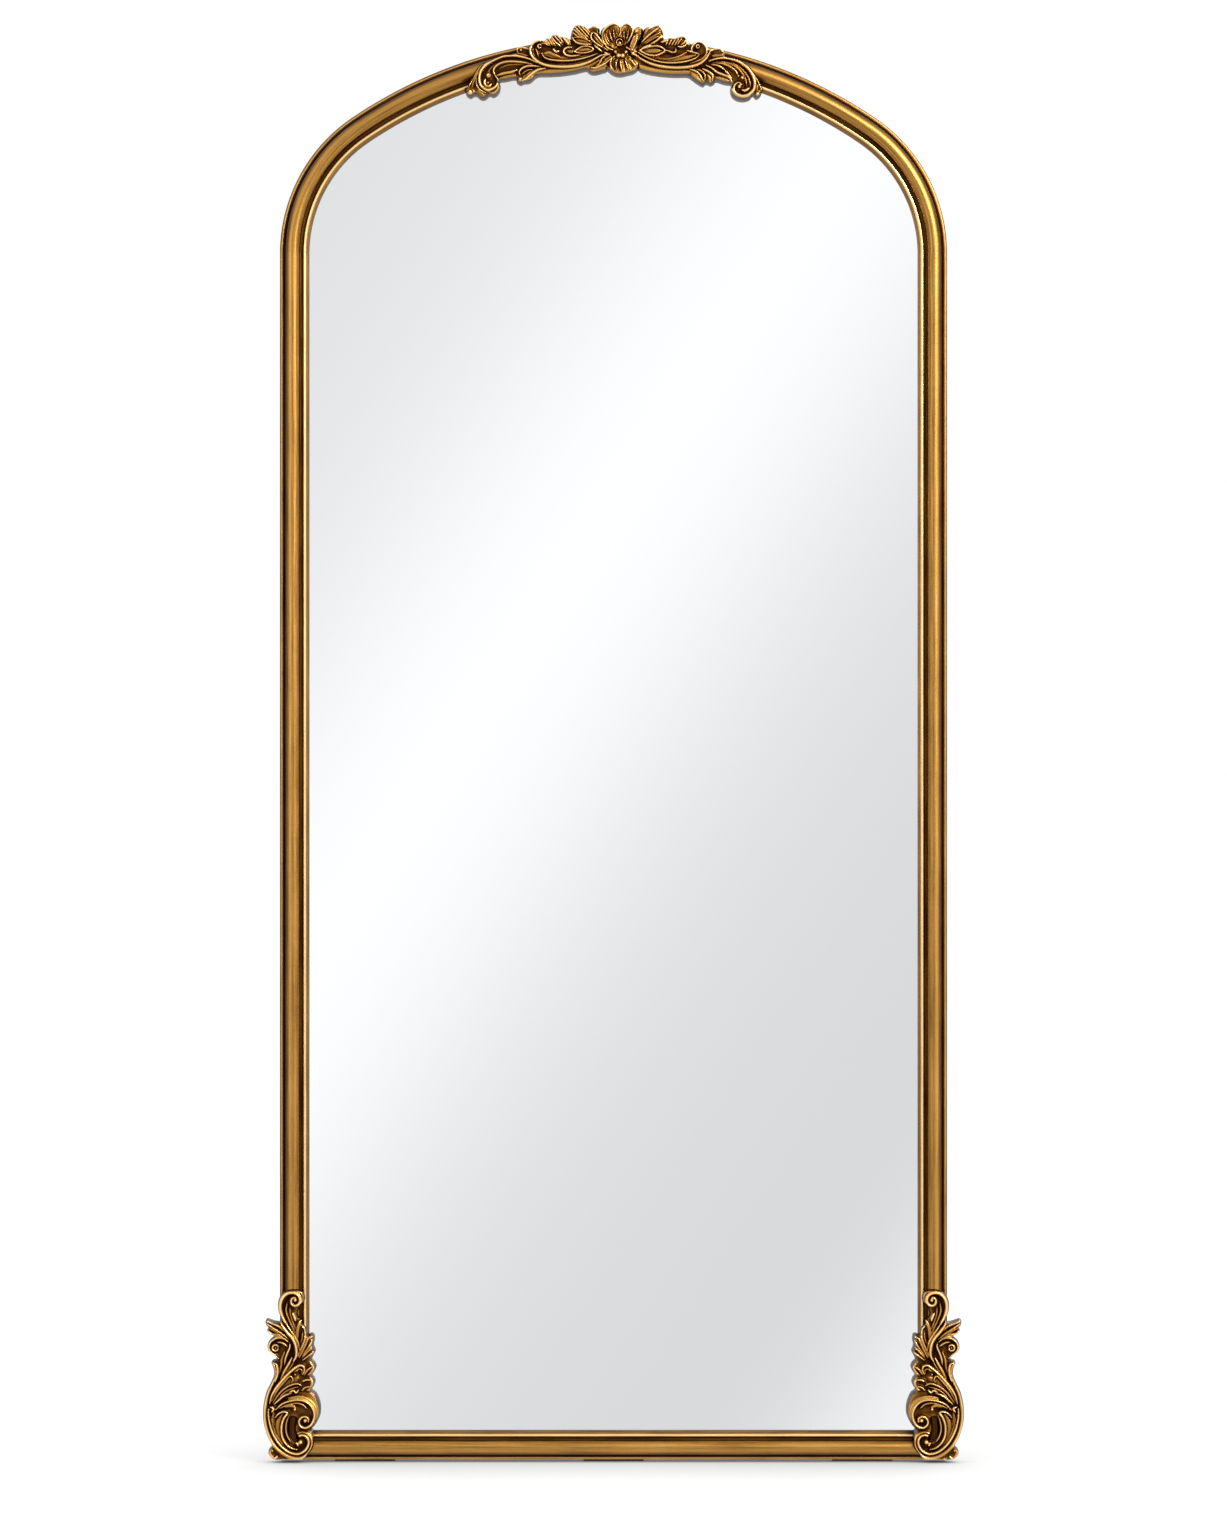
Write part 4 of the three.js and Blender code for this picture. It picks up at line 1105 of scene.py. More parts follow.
    def profile(self, shape: Cut, q: Array) -> Array:
        """Returns a stroke's height across it, as a share of its rise.

        Args:
            shape: The stroke's cut.
            q: Distance from its line, as a share of its width.

        Returns:
            The height, 0 off the stroke's skirt.
        """
        sizes = self.sizes
        if shape is Cut.SCOOP:
            return (0.35 + 0.65 * np.clip(q, 0, 1) ** 2) * np.sqrt(np.maximum(1 - q**6, 0.0))
        share = sizes.skirt_share
        dome = np.sqrt(np.maximum(1 - q**2, 0.0))
        height = (1 - share) * dome + share * np.clip(1 - q / sizes.skirt, 0, 1)
        if shape is Cut.LEAF:
            vein = sizes.vein_depth / (sizes.crest - sizes.ground)
            height -= vein * np.exp(-((q / sizes.vein_width) ** 2))
        return height

    def finish(self, frame_height: Array) -> tuple[Array, Array, Array]:
        """Rounds the rim, fits the back to the frame and tones the surface with brown glaze, painted shade
        and painted highlight.

        Args:
            frame_height: The frame's height under each grid point.

        Returns:
            The front's height, the back's height and the tone at each grid point.
        """
        sizes = self.sizes
        surface = self.blur(self.height, sizes.smoothing)
        share = np.clip(self.edge / sizes.edge_roll, 0, 1)
        edge = np.sqrt(np.maximum(1 - (1 - share) ** 2, 0))
        surface = sizes.lip + (surface - sizes.lip) * edge
        over_frame = np.where(frame_height > 0, frame_height + sizes.clearance, sizes.back)
        back = np.maximum(over_frame, sizes.back)
        front = np.maximum(surface, back + sizes.least_shell)
        # Painted shade and highlight: darker in creases, hollows and low ground and along the rim, lighter
        # on raised convex parts.
        near = surface - self.blur(surface, sizes.near_reach)
        far = surface - self.blur(surface, sizes.far_reach)
        relief = 0.55 * near + 0.75 * far + 0.4 * (surface - sizes.ground)
        inside = relief[self.edge > self.step]
        gild = np.interp(relief, np.percentile(inside, self.SHARES), self.TONES)
        return front, back, gild * np.clip(sizes.rim_shade + self.edge / sizes.rim_reach, 0, 1)

    def blur(self, values: Array, radius: float) -> Array:
        """Returns values smoothed over a radius in the drawing's units, inside the outline."""
        weight = (self.edge > 0).astype(float)
        sigma = radius / self.step
        reach = max(1, math.ceil(2.5 * sigma))
        taps = np.exp(-0.5 * (np.arange(-reach, reach + 1) / sigma) ** 2)
        sums = np.stack([values * weight, weight])
        for axis in (1, 2):
            sums = sum(t * np.roll(sums, k - reach, axis) for k, t in enumerate(taps))
        return np.where(sums[1] > SAME, sums[0] / np.maximum(sums[1], SAME), values)


def taper(share: Array, tips: Point, reach: float = 0.35) -> Array:
    """Returns the fullness along a stroke, which falls to its tips' shares at both ends."""
    start, end = (1 - (1 - tip) * np.clip(1 - along / reach, 0, 1) ** 2
                  for tip, along in zip(tips, (share, 1 - share)))
    return start * end


class Contour:
    """The part of a grid where a value is over 0, as faces with an interpolated border."""

    def __init__(self, inside: Array) -> None:
        """Numbers the corners inside and the crossings on the grid's lines."""
        self.value = inside
        self.keep = inside > 0
        self.flat_cross = self.keep[:, :-1] != self.keep[:, 1:]
        self.steep_cross = self.keep[:-1] != self.keep[1:]
        numbers, count = [], 0
        for mask in (self.keep, self.flat_cross, self.steep_cross):
            numbers.append(np.full(mask.shape, -1))
            numbers[-1][mask] = count + np.arange(int(mask.sum()))
            count += int(mask.sum())
        self.corner, self.flat, self.steep = numbers

    def sample(self, field_values: Array) -> Array:
        """Returns a field's value at each numbered point."""
        parts = [field_values[self.keep]]
        for crossed, (down, right) in ((self.flat_cross, (0, 1)), (self.steep_cross, (1, 0))):
            near = np.nonzero(crossed)
            far = (near[0] + down, near[1] + right)
            t = self.value[near] / (self.value[near] - self.value[far])
            parts.append(field_values[near] * (1 - t) + field_values[far] * t)
        return np.concatenate(parts)

    def faces(self) -> tuple[list[tuple[int, ...]], list[tuple[int, int]]]:
        """Returns the faces and the stretches of border between them."""
        less, more = slice(None, -1), slice(1, None)
        around = ((less, less), (less, more), (more, more), (more, less))
        corners = [self.corner[spot] for spot in around]
        crossings = (self.flat[:-1], self.steep[:, 1:], self.flat[1:], self.steep[:, :-1])
        case = sum(self.keep[spot] * 2**k for k, spot in enumerate(around))
        faces, border = [], []
        for code in range(1, 16):
            cells = case == code
            if not cells.any():
                continue
            walk, is_crossing = [], []
            for k in range(4):
                here, following = bool(code >> k & 1), bool(code >> (k + 1) % 4 & 1)
                if here:
                    walk.append(corners[k][cells])
                    is_crossing.append(False)
                if here != following:
                    walk.append(crossings[k][cells])
                    is_crossing.append(True)
            faces += list(map(tuple, np.stack(walk, 1).tolist()))
            for k, crossing in enumerate(is_crossing):
                following = (k + 1) % len(walk)
                if crossing and is_crossing[following]:
                    border += list(map(tuple, np.stack([walk[k], walk[following]], 1).tolist()))
        return faces, border


@dataclass
class Carving:
    """A carved ornament, drawn round one point that lies at a known X and Z."""

    name: str
    drawing: Drawing
    drawn_at: Point
    stands_at: Point
    sizes: ReliefSizes = field(default_factory=ReliefSizes)
    back_spacing: int = 6
    back_margin: int = 3
    wall_gilding: float = 0.5

    def build(self, moulding: MouldedFrame, mirror_name: str = "") -> None:
        """Carves the ornament, and its mirror image where that has a name.

        Args:
            moulding: The frame that its back fits.
            mirror_name: The node of the mirror image.
        """
        relief = Relief(self.drawing, self.sizes)
        gx, gy = np.meshgrid(relief.x, relief.y)
        x = self.stands_at[0] + (gx - self.drawn_at[0]) * self.sizes.unit
        z = self.stands_at[1] + (self.drawn_at[1] - gy) * self.sizes.unit
        frame_height = moulding.section.surface_height(moulding.outline.inset(x, z))
        front, back, gild = relief.finish(frame_height)
        contour = Contour(relief.edge)
        fields = {key: contour.sample(values) for key, values in
                  {"x": x, "z": z, "front": front, "back": back, "gild": gild}.items()}
        places, faces, tones = self.close(fields, contour, relief, moulding.back_y)
        self.place(self.name, places, faces, tones)
        if mirror_name:
            self.place(mirror_name, places * (-1.0, 1.0, 1.0), faces, tones)

    def close(self, fields: dict[str, Array], contour: Contour, relief: Relief,
              back_y: float) -> tuple[Array, list, Array]:
        """Adds the side walls and the back to the front.

        Args:
            fields: Values at each point of the front.
            contour: The front's grid.
            relief: The carved surface.
            back_y: The Y of the frame's back.

        Returns:
            The places, the faces and the gilding.
        """
        faces, border = contour.faces()
        rim = sorted({i for pair in border for i in pair})
        rows, cols = np.nonzero(relief.edge > self.back_margin * relief.step)
        sparse = (rows % self.back_spacing == 0) & (cols % self.back_spacing == 0)
        inner = contour.corner[rows[sparse], cols[sparse]].tolist()
        behind = {i: k for k, i in enumerate([*rim, *inner])}
        count = len(fields["x"])
        walls = [(a, b, count + behind[b], count + behind[a]) for a, b in border]
        front, back = (np.stack([fields["x"], back_y - fields[side], fields["z"]], 1)
                       for side in ("front", "back"))
        places = np.concatenate([front, back[list(behind)]])
        tones = np.concatenate([fields["gild"], np.full(len(behind), self.wall_gilding)])
        return places, [*faces, *walls, *self.back_faces(fields, behind, border, relief)], tones

    def back_faces(self, fields: dict[str, Array], behind: dict[int, int], border: list,
                   relief: Relief) -> list[tuple[int, ...]]:
        """Triangulates the back between the rim and a sparse set of inner points.

        Args:
            fields: Values at each point of the front.
            behind: The number on the back of each point of the front that it repeats.
            border: The stretches of the front's border.
            relief: The carved surface.

        Returns:
            The back's faces.
        """
        unit, count = self.sizes.unit, len(fields["x"])
        flat = [Vector((fields["x"][i] / unit, fields["z"][i] / unit)) for i in behind]
        edges = [(behind[a], behind[b]) for a, b in border]
        points, _, triangles, origin, _, _ = delaunay_2d_cdt(flat, edges, [], 1, 1e-5)
        number = [count + ids[0] if ids else None for ids in origin]
        faces = []
        for triangle in triangles:
            ids = tuple(number[i] for i in triangle)
            middle = sum((points[i] for i in triangle), Vector((0, 0))) / 3
            if None not in ids and self.covers(middle * unit, relief):
                faces.append(ids)
        return faces

    def covers(self, place: Vector, relief: Relief) -> bool:
        """Whether the ornament covers a place in X and Z, give or take a grid step."""
        px = self.drawn_at[0] + (place[0] - self.stands_at[0]) / self.sizes.unit
        py = self.drawn_at[1] - (place[1] - self.stands_at[1]) / self.sizes.unit
        col = int(round((px - relief.x[0]) / relief.step))
        row = int(round((py - relief.y[0]) / relief.step))
        return bool(relief.edge[row, col] > -relief.step)

    def place(self, node: str, places: Array, faces: list, tones: Array) -> None:
        """Puts the carved mesh in the place of its node."""
        still = np.zeros(len(places))
        values = {"gild": tones, "bare": still, "along": still, "across": still}
        piece = new_piece(f"{node}_carving", places, faces, values, crease=SOFT_CREASE)
        stand_for(piece, node, ROOT, GILDED_CASTING)


# ---- The drawings of the carvings ----

LEFT_SPRAY = """
ground 600,33 600,29.6 597,27.3 593,26.8 590,28.8 585,27 579,25.8 575,27 572.3,31 570.8,36.5 570.4,39.8
    566,37.8 560,37 556,35.3 552.5,36.3 550.2,39.2 547,38.8 544.8,41.2 540,40.8 535,41.8 531,45 529,48.6
    523,47.2 518,47.8 515.3,50.6 516,54 512,55.7 505,56 497,58.7 489.5,62.3 482,65 476.5,71.5 472,80
    468,87 465.8,91.5 466.6,95.3 470.5,97.8 474.8,95.8 477.3,96.2 480,98.7 483.5,99.6 487,98.3
    489.8,95.8 493.5,96.8 497.5,94.8 500.3,90.5 500.8,86 499.8,82.3 506,80.9 516,79.6 517.3,82.8
    520.7,84.7 524.5,83.3 528.5,82.9 532.5,80.8 535.5,77.8 539,76.3 550,75.9 560,75.3 575,73.2 587,70.8
    589,72.8 593,74.3 598,73.8 603,72.3 606.8,71 606.8,50
roll 3.5 .42 536,74 550,72.8 565,71.9 580,69.4 590,66.6 602,61
roll 1.42 .32 533,64.5 520,62 508,61.8 498,64.5 491,70 488,74
roll 1.27 .3 531,66.8 518,65.8 507,66.9 500,70
roll 2.36 .46 499.3,84 498.3,90 494.3,94.2 490.5,94.4
leaf 2.5 .5 478,77 477.7,85 480,91 484.2,96.2
roll 1.2 .78 476.9,79 477.3,86.5 480.4,91.3 486,94.2
roll 1.63 .8 483,65.5 477,72.5 472,81 469.4,88.5
roll 1.13 .5 481.5,69 477,77 473.6,85 472.2,90
bead 2.7 .72 470.8,93.5
roll 1.77 .78 496.8,78.2 494.3,74.5 494.4,70.5 498,66.5 504,64 512,63.1 522,63.9 533,66
roll 1.98 1 537,64.6 530,60.9 521,58.4 512,57.3 505,57.7 497,60.4 490,64.2 485,68.3 481.5,73 480,79
    480.6,85 483.4,89.2 488,91.5 493,90.4 497,87 498.6,82 495.6,77.4
roll 2.12 .88 486,80.6 485.1,84 486.5,87.3 490,88 492,85.6
bead 1.5 .9 488.6,84.4
bead 2.9 1.05 489,77.1
hollow 1 .55 490.2,77.4
leaf 2.1 .42 499.5,80.3 508,78.2 517,76.6
leaf 1.7 .76 496.8,77.4 504,75 512,73.5 518.2,71.3
hollow 1.1 0 518.2,73 517.7,77 517.9,81
leaf 3.4 .42 537,73.5 530,76.5 523,80.5
bead 2.4 .55 520.7,80.6
roll 2.41 .52 536,76.8 531,80 526.8,81.6
roll 1.13 .6 534,71 527,72.3 522.2,76
roll 1.13 .62 537,71.6 530.5,74 525.6,78.3
roll 1.56 .88 541,68.5 532,67.6 526,68.4 521.2,71.2 519.7,74.4 520.6,76.4
roll 1.77 .88 546,70 538,71.5 532,75.3 527.3,79.6 522.8,82.3
roll 1.27 .38 517,54.6 522,55.7 528,57.4
roll 1.63 .62 529.4,51 524,48.9 519.2,49.4 517,51.8 518.3,53.8
bead 1.6 .8 521.4,51.7
roll 1.13 .48 533.6,49.5 533.8,55 537,60 543,63.8 551,65.6 562,66.2 574,65.4 586,62.4 597,58
roll 1.06 .42 535.8,49.5 537.6,53.8 538.8,58.5
roll 2.05 1 546.5,43.4 541,42.2 536,43.4 532.2,47 530.8,52 532,57 536,61.6 541,65 548,67.2 560,68.4
    570,68.1 580,66.6 590,63.4 597,59.6 602,57 606.4,56.4
leaf 2.9 .44 543,55.8 550,57 560,59.6 572,60.4 584,59 597,56
roll 2.28 .62 544.2,55.2 549,54.2 554,56.3 561,59
roll 1.49 .86 542.4,54.6 544,58.4 548,60.7 556,62.1 566,62.5 578,61.3 588,58.8 598,55.3
roll 1.13 .66 541,45 545,45.3 548.7,47.3
roll 1.13 .6 543.5,43.6 547.5,45 551,47.8
ring 1.13 .82 540,48 1.75
roll 1.42 .66 546,40.6 549.3,45.2 550.5,47.2
roll 1.27 .6 548.6,40 552.2,45.6 553.2,47.4
roll 1.35 .55 550.9,39.8 553,36.9 556.4,36.2 560,38 562,40
roll 1.27 .72 551.3,40.6 554,45 556,47.8
roll 1.35 .76 551.8,38.6 556,43.8 561.3,48.4
roll 1.27 .72 554.4,37.3 559,42.5 563,46.8
roll 1.2 .66 557.6,37 561,41 563.8,45
roll 1.98 .7 563.2,38.6 566.8,43 569.4,47
roll 1.35 .52 566.2,38.8 569.4,42.5 570.6,46
roll 1.7 .9 553.4,50.6 555.8,53.2 559.5,53.2
bead 1.8 .95 554.2,51.4
bead 1.5 .85 559,53
leaf 2.2 .36 567,52.2 571,53.2 576,52.6
roll 1.56 .95 572.5,49.1 568,49.3 565,50.8 564.1,53.6 566,56.5 570,57.7 575,57.7 580.5,56.7
leaf 2.5 .56 577,52.8 584,51.3 591.5,50.9
roll 1.2 .92 574.8,53.4 578,50.9 582,48.7 587,48.1 592.4,49.5 593.6,51.2 589.5,53.7 583,54.8 578,54.4
    574.8,53.4 tips=.9,.9
leaf 6.8 .36 574,32 581,36 590,42
roll 1.2 .62 572.5,37.6 572.5,33 574.7,28.4 578.5,26.9 584.5,28
roll 1.35 .74 573,34.3 577.5,37.6 582.5,39.4
roll 1.42 .8 573.8,30.6 578.3,35.2 584,39.2
roll 1.42 .84 575,28.2 580,33.9 587.5,40.6
roll 1.35 .8 578,27.4 583.2,33.3 589.5,40
roll 1.27 .74 581.3,27.6 586,32.5 590.8,37.8
roll 1.2 .64 584.8,28.4 588.4,32 591,35.2
leaf 2.6 .5 576,41.6 583,43 591,44.8
roll 1.35 .72 573.6,39.4 578,38.9 583,39.8 588,42 592.4,44.6
roll 1.56 .9 572.7,39.2 574.2,42 577.6,44.6 584,46 592,46
roll 1.84 .5 590.6,29.4 593.4,27.9 597,28.2 600,30
leaf 2.2 .5 594,36.6 598,41.6 603.5,47.6
roll 1.35 .92 592.8,34 591.1,38.6 594,43.1 598.5,46.6 604,49.6
roll 1.27 .88 593,34 596.6,36.3 600,41 604.5,46.6
roll 1.49 1 594.2,46.8 598,50 602.4,53.6
roll 2.41 .36 591.5,71.8 596,72.6 603,70.3 606.5,68.5
leaf 2.7 .52 606.5,62.4 602,66.6 597,69.4 591.6,69.8
roll 1.27 .78 606,57.2 602,60.5 599.4,65.6 595.4,68.4
roll 1.35 .86 606.6,64.3 601,67.4 595,69.6 591.4,69
"""

RIGHT_SPRAY = """
ground 643.9,30 646,28.4 648.6,27.6 651.5,28.2 655,26.9 659,26 662,28.5 664.2,33 664.3,38 666,40
    670,38.6 675,39 680,37.3 684.5,36.9 687.8,40 688.9,44.4 692.4,44.2 697,42.3 702,42.6 706,45.5
    709.3,49.7 714,49.5 719,49 723,51 725.3,54 725.8,57.8 731,59 738,60.8 744,64 750,68.6 754.3,74
    758.5,80.5 761.9,88 762.3,92 760,97 756.3,98.6 753.2,96 749.5,99.6 742,101 735,98.8 731,94
    730.6,88.5 732,85.6 724,83.7 716.2,81.6 714.3,83.8 711,85.3 707.8,84.2 706.2,83.9 703.3,86.2
    697.5,83.3 692,79.3 688.5,77 675,76.6 665,76 655,74.8 645,72.7 639.1,70.2 636.1,55 641,40.2
roll 3.6 .44 640,67.2 650,71 662,73 675,73.5 690,73
leaf 7.4 .32 645,43 652,37 660,31
roll 1.42 .45 644.8,36 647.6,31.5 651.5,29
roll 1.35 .62 653.5,28.4 658.8,27.2 662.4,31 663.4,36
roll 1.42 .9 641.4,44.4 649.5,36.6 660,28.8
roll 1.2 .66 642.6,46 651,39.4 661.4,34
roll 1.2 .7 645,46 652,41.2 658.3,38.4 660.6,39.6
roll 1.56 .88 650,46.4 656,43 662.3,37.6
leaf 3.4 .52 644,52.6 652,52.6 661,52.4
roll 1.35 .95 640,52.2 645,49.9 652,48.3 657.6,47.9 661.6,49.2 665,52.3 661,55.3 655.5,57.2 648.5,56.5
    643,54.2 640,52.2 tips=.9,.9
roll 1.42 .98 640.8,51.4 644.5,49.1 648,47.8 651.6,47.3
roll 1.27 .95 664.6,52.2 668,52.6 671.5,54 674.5,54.1 676.2,52.2 675.2,50.2
leaf 3.8 .35 664,43.8 673,43.2 683,42
roll 1.2 .64 668.8,41.2 667.3,44 665.8,46.8
roll 1.2 .66 672.3,40.7 670.4,44 668.8,47.2
roll 1.2 .68 675.8,41 673.6,44 671.8,47.2
roll 1.2 .68 679,40.2 676.8,43.8 674.8,47.2
roll 1.13 .66 682,39.7 679.8,43 677.6,46.4
roll 1.35 .78 686,41.4 684.2,44.6 680.6,46.8
roll 1.56 .8 660.6,44.2 664.5,43 669,41.7
roll 1.42 .74 662,43.4 666,41 670.3,39.7 675.5,40 680.5,38.4 685,38.5 687.2,42 686.3,46.2 683,48.4
    678.4,48.2
roll 1.49 .86 677.8,48.2 682,48.8 685.6,46.8
leaf 2.9 .44 640,55.4 650,58.8 662,61.3 674,61.6 686,59.2 697,56.2
roll 1.2 .64 655,60.2 668,60.6 680,57.6 687.5,53
roll 1.42 .74 699.6,55.8 694,54.3 687,52.2
roll 1.49 .88 637,53.2 643,57 650,60.6 658,63.2 668,64.6 680,64.2 690,62.2 697,59 699.8,55.6
roll 1.56 .7 697,43.8 702,44.1 705.4,47 706.9,51.5 706,56.5 702.5,60.4 697,63 690,65.3
roll 1.56 .88 692.2,54 691.9,50 693.9,46.3 697,44
ring 1.06 .86 698,48.3 1.6
roll 2.05 1 637,57.4 641,60.4 646,63.2 653,66 661,68 672,69.2 682,69.2 692,68 700,65.3 705.5,61
    709.2,55.5 710.6,51.8
roll 2.41 .36 712.5,57.3 718,57.6 724,56.4
roll 1.56 .7 709.8,54 712.2,51.4 716,50.3 720.5,50.4
bead 1.8 .82 722.2,52.6
roll 2.28 .46 732,87.5 731.9,92 734.8,96.8 741,99.2 748,98 752,95
roll 1.2 .46 722,62.6 733,65.2 742,71 748.3,79 750.3,87 748.8,92
roll 1.35 .6 716,63.3 727,64.4 736,68.6 742.4,75 745.8,82 746.8,88
roll 1.42 .7 713,64.6 722,65.2 730,68.2 736.4,73.6 738.4,78.6
roll 2.36 .4 716,78.6 722,80.4 730,82.6
roll 1.49 .8 711,66 719,67.7 724,71.5 728,75.5 732,80.2
hollow 1.5 0 716,70.7 720,71.2 723.5,72.8
roll 1.63 .84 706,66.9 712,70 717,73.8 723,76.3 729,79 732.6,84
roll 2.12 .96 742,91.9 745.6,92.2 749.2,89.6
bead 2.3 .98 742.6,79.3
bead 1.5 .85 738.4,77.6
bead 2.4 .98 739.5,88
roll 1.98 1 709,62.9 714,61.2 720,60 728,59.9 736,61.9 743,65.6 749,71 752.8,77 754.9,84 754.2,90
    751.3,94 746.5,97 740.5,97.2 735.5,94.4 733.8,90 735.3,86.2 738.8,84.3 742,86.6
roll 1.56 .42 755.3,82 757.3,88 756.8,92.5
bead 2.3 .5 757.4,95
roll 1.49 .8 750.8,71.5 756.2,79 760,86 761,91
leaf 2.9 .46 691.5,73.6 696.5,77.4 701.5,82.6
bead 1.5 .62 702,79.2
roll 2.12 .5 707.3,75.5 710,79.6 710.4,83
roll 1.27 .7 697,70.8 702,73 705.2,77 704.8,81.5
roll 1.42 .86 689.6,70.9 696,73 700,76.6 702.3,80.8 703.8,82.4
roll 1.77 .86 702.6,70.4 709,73.6 712.9,77.4 712.4,81.6
"""

FLOWER = """
ground 600.8,33 603,28.6 606,27.4 609,25.2 614,24.1 618,25.3 621,27.6 624.5,24.9 628,24.2 631,25.4
    634,29.6 637,27.9 640,27.7 643.1,29.7 642,36 639.5,44 638.3,51 639,58 639.8,64 638.4,69.4 634,73
    628,74.6 622,76 616,75.6 611,73.2 607.6,70.4 604.6,69.6 603,62 603,52 601.6,46 600.8,40
roll 3.6 .45 590,67 602,63 612,60 tips=1,1
roll 3.6 .45 630,62 640,67.2 650,71 tips=1,1
roll 1.6 1.03 590,63.4 597,59.6 602,57 606.4,56.4 611,56 tips=1,1
roll 1.1 .93 598.5,46.6 604,49.6 608,52 tips=1,1
roll 1.2 1.02 598,50 602.4,53.6 607,55 tips=1,1
leaf 2.9 .56 612,58 606.5,62.4 602,66.6 597,69.4 tips=1,1
roll 1.1 .9 612,59.6 606.6,64.3 601,67.4 595,69.6 tips=1,1
roll 1.1 .82 611,55.6 606,57.2 602,60.5 599.4,65.6 tips=1,1
roll 1.6 1.03 631,54.6 634,55.8 637,57.4 641,60.4 646,63.2 tips=1,1
roll 1.2 .92 631,51.6 637,53.2 643,57 650,60.6 tips=1,1
roll 1.1 .97 633,54.4 640,52.2 645,49.9 tips=1,1
leaf 4.4 .4 634,54 640,47 648,40 tips=1,1
roll 1 .86 634,52 641.4,44.4 649.5,36.6 tips=1,1
scoop 4.6 .5 636.6,46 638.4,38 639.4,32 tips=.6,1
roll 1 .62 635,31.4 636.4,29 639,28.6 641.6,29.2 643,31
roll 1.1 .84 643.4,31 641.6,36 638.6,42.4
scoop 9 .6 614.6,47 612,38 611.6,31 tips=.4,1
roll 1.5 .95 607.8,48.6 603.6,43.4 602.1,37 604.2,32.2 607.6,28.7 612.2,26 617,26.1 620.2,29.2
roll 1.2 .84 620.4,29.4 620.9,34.6 618.9,38.6
roll .9 .72 605.8,33.6 607.6,40 610.8,46
roll .9 .78 609.5,31.2 610.9,38 613.3,44
roll .9 .74 613.5,30.2 614.1,36 615.7,41.6
roll .8 .64 617.2,30.8 617.3,35 618,38.6
scoop 6.6 .6 624.2,44 626.8,36 627.8,30.6 tips=.4,1
roll 1.45 .95 621.5,30.6 623.1,27.3 626.4,25.6 630.4,26.7 632.9,30 632.6,34.6 630.2,40 627.4,45
roll .9 .76 624.5,31 624.1,37 624.7,41.6
roll .9 .76 628.6,30 628.2,36 626.6,42
roll 2.7 .74 637,37 634,44.6 631.3,52 tips=.8,.6
roll 1.2 .98 634.8,36.9 632.4,43.2 630.2,49.8
roll 1.35 1.05 638.4,37 636.2,43.8 632.5,52
roll 1.3 .98 605.6,47.6 609.6,50.6 614,52
roll 1.2 .92 626,48.6 628.2,50.2 630.6,51.4
roll 2.6 .46 608.6,70 613,73.2 618,74.8 624,74.6 630,73 636.5,69.8
scoop 3.6 .62 616.6,58 614.2,64 613.4,71 tips=.6,1
scoop 3 .62 619.6,59 619,66 619.4,73.4 tips=.6,1
scoop 3 .62 623.6,59 625,66 626,73 tips=.6,1
scoop 3.8 .62 627,58 630,64 633,70 tips=.6,1
roll 1.25 .92 612.6,59.4 610.9,63.8 611.3,68.6 614.2,71.9
roll 1.05 .82 616.5,61 616.4,67 616.9,72.4
roll 1.35 .98 620.5,61 621.2,67.4 622.7,73.6
roll 1.05 .82 625.1,60.8 627,66.6 629,71.8
roll 1.25 .94 628.8,59.4 632.6,63.4 636.2,68.6
hollow 5.4 .02 619.9,43.8
ring 1 .7 619.9,44 3.2
bead 2 1.04 619.9,44.9
hollow 2.4 .04 612.4,55.8
hollow 2.2 .04 629.6,55.4
bead 2.2 1.06 615.8,53.6
bead 2.2 1.06 626.3,53.8
bead 2.9 1.1 618.8,57.2
bead 2.9 1.1 623,57.3
"""

